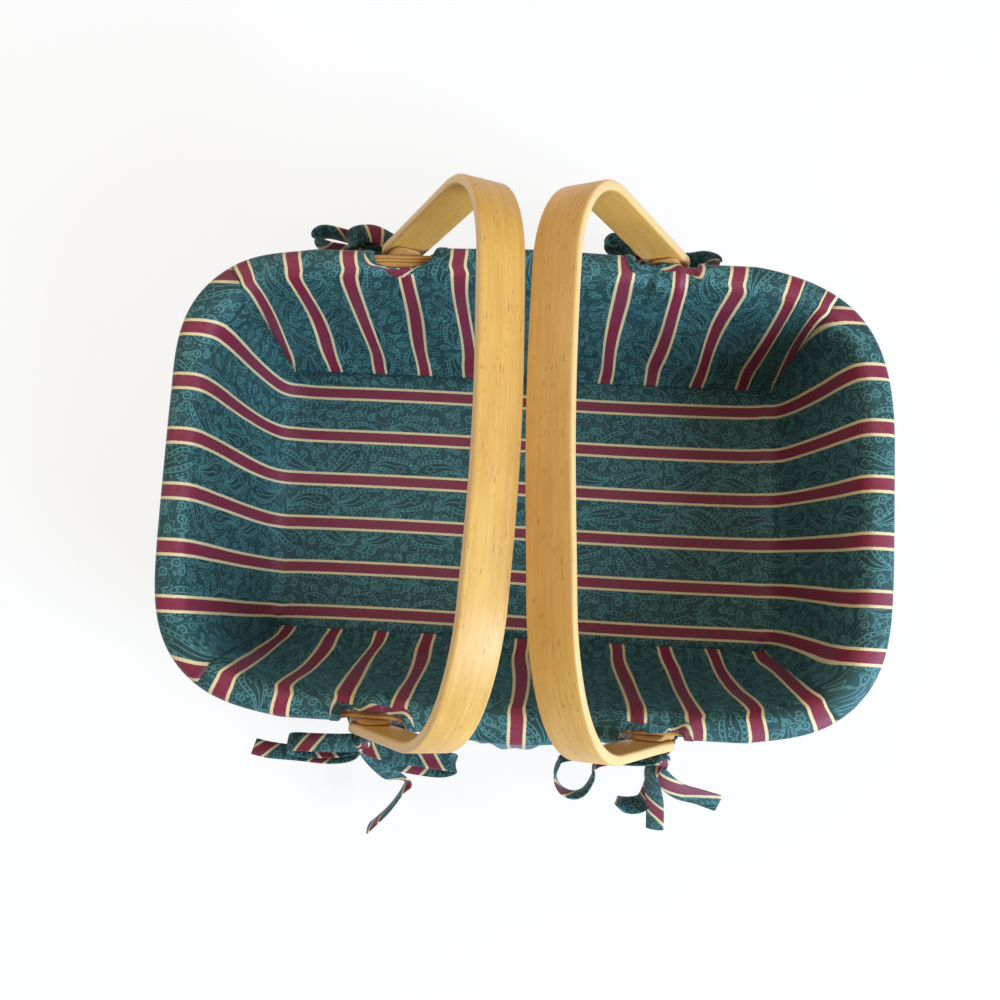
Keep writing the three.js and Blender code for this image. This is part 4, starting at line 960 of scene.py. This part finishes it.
def long_panel():
    """The long panel: down one end, over the floor and up the other end, as one sheet."""
    share = np.linspace(-1, 1, 89)
    share = mix(share, np.sin(share * np.pi / 2), 0.35)[None]
    way = np.broadcast_to(WAY_ROWS[:, None], (len(WAY_ROWS), share.shape[1]))
    (left, left_print), (right, right_print) = (end_wall(end, share, way) for end in (-1, 1))
    run, depth = np.linspace(-LINER_X, LINER_X, 120)[1:-1, None], share * LINER_Y
    ripple = 0.5 * np.sin(run / 31 + depth / 23) + 0.4 * np.sin(depth / 17 - run / 47)
    edge = 1 - ease((1 - np.abs(share)) * LINER_Y, 0.0, 5.0)
    floor = grid_of(run, depth, LINER_FLOOR + 0.5 + ripple * 0.6 * (1 - edge) - 0.6 * edge)
    place, pitch = LONG_STRIPES
    floor_print = (depth + 0.9 * np.sin(run / 60) - place) * STRIPE_PITCH / pitch
    points = np.concatenate([left[::-1], floor, right])
    near_bend = 1 - ease(np.abs(np.abs(points[..., 0]) - LINER_X), 24, 48)
    soft = near_bend * (points[..., 2] < 80) * (1 - ease(np.abs(share), 0.86, 0.99))
    points = mix(points, smoothed(points, 70), soft[..., None])
    flat = grid_of(np.concatenate([left_print[::-1], floor_print, right_print]), length_along(points))
    # painted highlight on top of the roll at both ends, none on the floor
    roll_highlight = painted_roll_highlight(way)
    roll_highlight = np.concatenate([roll_highlight[::-1], np.zeros(floor.shape[:2]), roll_highlight])
    # painted shade for the cloth's colour along the long panel's edges, at the seams
    return [surface(points, flat)], {"crease_shade": np.broadcast_to(edge, flat.shape[:2]), "roll_highlight": roll_highlight}


panels = {}
for name, (surfaces, marks) in (("long", long_panel()), ("front", side_panel(-1)), ("back", side_panel(1))):
    panel = f"liner_{name}_panel"
    panels[name] = piece(
        f"liner_{name}_cloth", surfaces, LINER_COTTON, [panel], cloth=CLOTH, marks=marks
    )

# Ties


def curve_through(points, rows):
    """A smooth curve through points, on cubics whose slope at a point follows its two neighbours."""
    points = np.array(points, float)
    padded = np.concatenate([2 * points[:1] - points[1:2], points, 2 * points[-1:] - points[-2:-1]])
    place = np.linspace(0, len(points) - 1, rows)
    start = np.minimum(place.astype(int), len(points) - 2)
    t = (place - start)[:, None]
    a, b, c, d = (padded[start + k] for k in range(4))
    return 0.5 * (2 * b + (c - a) * t + (2 * a - 5 * b + 4 * c - d) * t**2 + (3 * b - a - 3 * c + d) * t**3)


def turned(flat, degrees, hand=1):
    """Places on the cloth turned by an angle, one way or the other."""
    cosine, sine = np.cos(np.radians(degrees)), np.sin(np.radians(degrees))
    x, y = flat[..., 0] * hand, flat[..., 1]
    return grid_of(x * cosine - y * sine, x * sine + y * cosine)


def tape(points, across, stripe, bias=0.0, width=TAPE_WIDTH, rows=44, cup=0.0):
    """A folded cloth tape along a curve, its width turned as listed at each point of the curve and a little
    cupped. A stripe crosses its middle at a length along it, at a bias."""
    middle = curve_through(points, rows)
    along = unit(np.gradient(middle, axis=0))
    wide = curve_through(across, rows)
    wide = unit(wide - np.sum(wide * along, -1, keepdims=True) * along)
    normal = np.cross(along, wide)
    spread = ACROSS * width / 2
    grid = middle[:, None] + wide[:, None] * spread[:, None] + normal[:, None] * (cup * ACROSS**2)[:, None]
    flat = grid_of(spread, length_along(middle)[:, None] - stripe)
    return slat(grid, facing(grid), TAPE_THICKNESS / 2, turned(flat, bias))


# The direction of the width along the tails that hang at the back
TAIL_RIGHT = [(1, 0, 0.1), (1, 0.1, 0), (1, 0.3, 0), (0.9, 0.4, 0)]
TAIL_LEFT = [(1, 0, 0.1), (1, -0.2, 0), (0.9, -0.4, 0), (0.9, -0.4, 0)]
# Each bow's tapes: where a stripe crosses it and the stripe's bias, the tape's points from the knot, along
# the basket, outwards and up, and the direction of its width, steady or at each point
BOWS = {
    "front_left": [
        (34, 0, [
            (0, 0, 2), (-11, 1, 5), (-29, 1.5, 7), (-44, 2, 4), (-49, 4, 0), (-42, 7, -4), (-27, 7, -4),
            (-12, 5, -2), (0, 1, -1),
        ], [(0, 1, 0.3)]),
        (46, 0, [
            (0, 1, 1), (8, 4, 1), (25, 7, -1), (51, 10, -5), (61, 12, -8), (51, 16, -12), (28, 14, -11),
            (8, 9, -6), (0, 1, -2),
        ], [(0, 1, 0.25)]),
        (72, 0, [(0, 2, -2), (-7, 9, -5), (-22, 12, -8), (-43, 11, -10), (-63, 10, -10), (-74, 8, -9)], [
            (0, 0.7, 0.7), (0, 0.6, 0.8), (0, 0.6, 0.8), (0, 0.7, 0.7), (0, 0.8, 0.6), (0, 0.8, 0.6),
        ]),
        (48, 0, [
            (0, 2, -2), (3, 7, -5), (9, 16, -14), (18, 25, -26), (26, 29, -35), (24, 35, -39), (14, 50, -48),
            (-1, 66, -58),
        ], [
            (0.9, -0.3, 0.2), (0.9, -0.4, 0.2), (0.9, -0.4, 0.2), (0.8, -0.4, 0.2), (0.6, 0.2, 0.7),
            (0.1, 0.3, 1), (0.1, 0.2, 1), (0.2, 0.2, 1),
        ]),
    ],
    "front_right": [
        (-8, 0, [
            (0, 0, 1), (-13, 2, 0), (-32, 3, -4), (-42, 7, -6), (-43, 15, -8), (-48, 24, -9), (-55, 27, -9),
            (-63, 24, -9), (-67, 16, -8), (-65, 8, -7), (-61, 4, -6), (-39, 1, -4), (-19, 1, -2), (0, 0, -1),
        ], [(0, 0.3, 1)]),
        (36, 38, [(0, 1, 0), (-2, 14, -12), (-4, 26, -24), (-8, 34, -32), (-16, 36, -36), (-24, 33, -37)], [
            (0.8, 0.2, 0.5), (0.8, 0.3, 0.5), (0.7, 0.5, 0.4), (0.3, 0.8, 0.3), (0.1, 0.8, 0.5),
            (0.1, 0.4, 0.9),
        ]),
        (48, -14, [(0, 1, 0), (-5, 9, -4), (-3, 19, -12), (0, 30, -22), (2, 41, -32), (3, 52, -40)], [
            (0.5, 0.2, 0.9), (0.6, 0.2, 0.8), (0.7, 0, 0.7), (1, 0, 0.3), (1, 0.1, 0), (1, 0.2, 0.1),
        ]),
        (24, -38, [(0, 1, 0), (0, 9, -4), (7, 17, -10), (17, 23, -16), (29, 26, -20), (43, 30, -24)], [
            (0.5, -0.2, 0.9), (0.6, -0.5, 0.6), (0.6, -0.7, 0.3), (0.5, -0.8, 0.3), (0.3, -0.8, 0.4),
            (0.2, -0.9, 0.3),
        ]),
    ],
    "back_left": [
        (16, 16, [
            (0, 0, 2), (-6, 3, 6), (-16, 6, 9), (-27, 5, 8), (-32, 1, 3), (-22, 1, -2), (-6, 0, -2),
        ], [(0, 0.9, 0.5)] * 4 + [(0, 0.9, 0.4)] * 3),
        (32, 0, [
            (0, 1, 0), (-22, 3, 0), (-37, 7, 0), (-51, 10, -2), (-57, 7, -4), (-52, 2, -6), (-37, -1, -6),
            (-19, -2, -4), (0, 0, -2),
        ], [(0, 0.5, 0.9)]),
        (30, 0, [(0, 2, -2), (4, 9, -14), (7, 14, -34), (8, 17, -54)], TAIL_RIGHT),
        (14, 0, [(0, 2, -2), (-7, 8, -14), (-12, 12, -32), (-14, 14, -50)], TAIL_LEFT),
    ],
    "back_right": [
        (-16, 0, [
            (0, 1, 0), (-15, 3, 1), (-32, 8, 0), (-43, 12, -2), (-44, 9, -6), (-34, 6, -8), (-15, 2, -6),
            (0, 1, -3),
        ], [(0, 0.6, 0.8)]),
        (-12, 0, [
            (0, 0, 0), (8, 0, 1), (18, 2, 0), (26, 1, -4), (21, -2, -8), (10, -1, -7), (0, 1, -4),
        ], [(0, 0.5, 0.9)]),
        (26, 0, [(0, 2, -2), (5, 9, -14), (9, 14, -34), (10, 18, -54)], TAIL_RIGHT),
        (40, 0, [(0, 2, -2), (-6, 8, -14), (-10, 12, -30), (-12, 15, -48)], TAIL_LEFT),
    ],
}
KNOT_X, KNOT_Y, KNOT_Z = PIVOT_X + EAR_DROP * np.sin(HANDLE_LEAN), 169.05, 84.0


def knot():
    """The wrap of the bow: an egg-shaped ring of tape round its middle, with creases that run along it."""
    down, turn = np.linspace(0, np.pi, 21)[:, None], np.linspace(0, 2 * np.pi, 41)[None]
    round_out = np.sin(down) ** 0.8 * (1 + 0.06 * np.cos(5 * turn + 2 * np.cos(down)) * np.sin(down))
    points = grid_of(6.4 * np.cos(turn) * round_out, 5.6 * np.sin(turn) * round_out, 6.8 * np.cos(down))
    return surface(points, grid_of(turn * 6, down * 7))


def bow(name):
    """A hand-tied bow: its loops, tails, knot, and the two tapes that come to it from the flap."""
    right, front = QUARTERS[name]
    parts = [knot()]
    for stripe, bias, points, across in BOWS[name]:
        across = across * 2 if len(across) == 1 else across
        parts += tape(points, across, stripe, bias, rows=72 if len(points) > 6 else 36, cup=0.8)
    for hand in (-1, 1):
        root = [(hand * 9, -14.5, -7), (hand * 6, -9, -4), (hand * 2, -3, -1), (0, 0, 0)]
        parts += tape(root, [(0.3 * hand, 0.3, 1)] * 2, 6.0, width=10, rows=14)
    place = np.array([right * KNOT_X, front * KNOT_Y, KNOT_Z])
    return [(points * [1, front, 1] + place, quads, flat) for points, quads, flat in parts]


def on_panel(front, place, way):
    """Points of a side panel and their normals, on straight lines between the four nearest of its grid."""
    columns, points, normal = SIDE_GRIDS[front]
    row = np.interp(way, WAY_ROWS, np.arange(len(WAY_ROWS)))
    column = np.interp(place, columns, np.arange(len(columns)))
    i = np.minimum(row.astype(int), len(WAY_ROWS) - 2)
    j = np.minimum(column.astype(int), len(columns) - 2)
    u, v = (row - i)[..., None], (column - j)[..., None]
    found = []
    for grid in (points, normal):
        low, high = (mix(grid[i + k, j], grid[i + k, j + 1], v) for k in (0, 1))
        found.append(mix(low, high, u))
    return found


# Where a stripe crosses the binding of each notch, along it from its middle
NOTCH_STRIPE = {(-1, 1): -14, (1, 1): 29, (-1, -1): 10, (1, -1): 7}
BINDING_INSIDE, BINDING_OUTSIDE, BINDING_BIAS = 10.0, 6.0, 28.0
CLIMB_ROWS, FOOT_ROWS = 44, 24


def notch_binding(right, front):
    """A folded tape over the edge of a notch. Its run follows the notch's edge from the flap over the roll,
    along the bottom and back; across, it goes round the edge from the inside to the outside."""
    climb = np.linspace(2.56, NOTCH_FLOOR, CLIMB_ROWS)
    leg, foot = np.ones(CLIMB_ROWS), np.linspace(NOTCH_FROM, NOTCH_TO, FOOT_ROWS + 2)[1:-1]
    place = np.concatenate([leg * NOTCH_FROM, foot, leg * NOTCH_TO])
    way = np.concatenate([climb, np.full(FOOT_ROWS, NOTCH_FLOOR), climb[::-1]])
    corner = ease(np.abs(np.arange(len(place)) - (len(place) - 1) / 2), 9, 22)
    away = np.concatenate([-leg, np.linspace(-1, 1, FOOT_ROWS) ** 3, leg]) * corner
    span = np.concatenate([np.linspace(BINDING_INSIDE, 0, 14), np.linspace(0, BINDING_OUTSIDE, 10)[1:]])
    edge = int(np.argmin(span))
    face = np.sign(edge - np.arange(len(span)))
    lift = face * np.sqrt(np.clip(1 - (1 - np.clip(span / 1.2, 0, 1)) ** 2, 0, 1)) * 1.05
    wall = np.linspace(0.6, NOTCH_FLOOR, 40)
    middle = np.full_like(wall, right * (NOTCH_FROM + NOTCH_TO) / 2)
    down = length_along(on_panel(front, middle, wall)[0])
    below = np.interp(span, (down[-1] - down)[::-1], wall[::-1])
    places = right * (place[:, None] + away[:, None] * span)
    points, normal = on_panel(front, places, way[:, None] - (1 - corner)[:, None] * (NOTCH_FLOOR - below))
    points = points + unit(normal) * lift[:, None]
    run = length_along(points)[:, edge : edge + 1]
    across = length_along(span[:, None]) - BINDING_INSIDE / 2
    flat = grid_of(across, run - run[len(run) // 2] - NOTCH_STRIPE[right, front])
    return [surface(points, turned(flat, -BINDING_BIAS, -right * front))]


for name, (right, front) in QUARTERS.items():
    panel = panels["front" if front < 0 else "back"].name
    tied = piece(f"bow_{name}", bow(name), TIE_COTTON, [f"tie_bow_{name}"])
    binding = piece(f"notch_binding_{name}", notch_binding(right, front), TIE_COTTON)

# Floor, light and camera


def seen_by(tree, *rays):
    """One for rays of some kinds and nought for others, as a field."""
    path = node(tree, "ShaderNodeLightPath")
    seen = Field(tree, path.outputs[f"Is {rays[0]} Ray"])
    for ray in rays[1:]:
        seen = seen.most(path.outputs[f"Is {ray} Ray"])
    return seen


def pale_floor():
    """A wide level sheet under the basket, in a matt white that glows, so that it looks white outside the
    shadow and far out."""
    run = np.linspace(-4000, 4000, 9)
    vertices, quads, _ = surface(grid_of(run[:, None], run[None], -0.4), np.zeros(2))
    mesh = bpy.data.meshes.new("floor")
    mesh.from_pydata((vertices * MILLIMETRE).tolist(), [], quads.tolist())
    made = bpy.data.materials.new("floor white")
    made.use_nodes = True
    tree = made.node_tree
    tree.nodes.clear()
    place = node(tree, "ShaderNodeTexCoord").outputs["Object"]
    tone = noise(tree, place, 3.0, 2.0).rises(0.2, 0.8)
    white = blend(tree, tone, paint(244, 244, 244), paint(250, 250, 250))
    matt = node(tree, "ShaderNodeBsdfDiffuse", {"Color": white}).outputs[0]
    glow = node(tree, "ShaderNodeEmission", {"Color": (1, 1, 1, 1), "Strength": 1.0}).outputs[0]
    far = Field(tree, node(tree, "ShaderNodeVectorMath", {0: place}, operation="LENGTH").outputs["Value"])
    share = seen_by(tree, "Camera", "Glossy", "Transmission") * (far.rises(0.5, 1.8) * 0.2 + 0.8)
    both = node(tree, "ShaderNodeMixShader", {0: share, 1: matt, 2: glow})
    tree.links.new(both.outputs[0], node(tree, "ShaderNodeOutputMaterial").inputs[0])
    mesh.materials.append(made)
    floor = bpy.data.objects.new("floor", mesh)
    bpy.context.scene.collection.objects.link(floor)


def stand(made, axes, place):
    """Sets an object's place and its three axes, one to a column."""
    made.matrix_world = Matrix([[*axes[i], place[i]] for i in range(3)] + [[0, 0, 0, 1]])


def lamp(name, place, size, power, colour):
    """A square soft lamp that faces the basket."""
    light = bpy.data.lights.new(name, "AREA")
    light.size, light.energy, light.color = size, power, colour
    made = bpy.data.objects.new(name, light)
    bpy.context.scene.collection.objects.link(made)
    back = unit(np.array(place) - [0, 0, 0.1])
    right = unit(np.cross([0, 1, 0.01], back))
    stand(made, np.stack([right, np.cross(back, right), back], -1), place)


def studio():
    """An even pale room, warm in the shade, a cool soft lamp from the front right and a weaker one from the
    back left."""
    world = bpy.data.worlds.new("studio")
    bpy.context.scene.world = world
    world.use_nodes = True
    tree = world.node_tree
    tree.nodes.clear()
    seen = seen_by(tree, "Camera", "Transmission")
    colour = blend(tree, seen, (1, 0.91, 0.77, 1), (1, 1, 1, 1))
    air = node(tree, "ShaderNodeBackground", {"Color": colour, "Strength": seen * 0.54 + 0.46})
    tree.links.new(air.outputs[0], node(tree, "ShaderNodeOutputWorld").inputs[0])
    lamp("front lamp", (1.8, -1.1, 1.2), 1.3, 89, (0.61, 0.81, 1))
    lamp("back lamp", (-0.9, 1.1, 1.9), 1.4, 15, (1, 0.96, 0.9))


def photo_camera():
    """The camera where the photograph was taken from: almost overhead, a little to the front."""
    across = [0.998094, 0.05343435, -0.03087287]
    up = [-0.04924594, 0.99113821, 0.12336889]
    back = [0.03719142, -0.12161339, 0.99188053]
    data = bpy.data.cameras.new("camera")
    data.sensor_width, data.lens, data.clip_start = 36.0, 36.0 * 1.0226261, 0.01
    made = bpy.data.objects.new("camera", data)
    bpy.context.scene.collection.objects.link(made)
    stand(made, np.stack([across, up, back], -1), (0.010042, -0.088617, 0.768777))
    bpy.context.scene.camera = made


pale_floor()
studio()
photo_camera()
bpy.context.scene.view_settings.view_transform = "Standard"
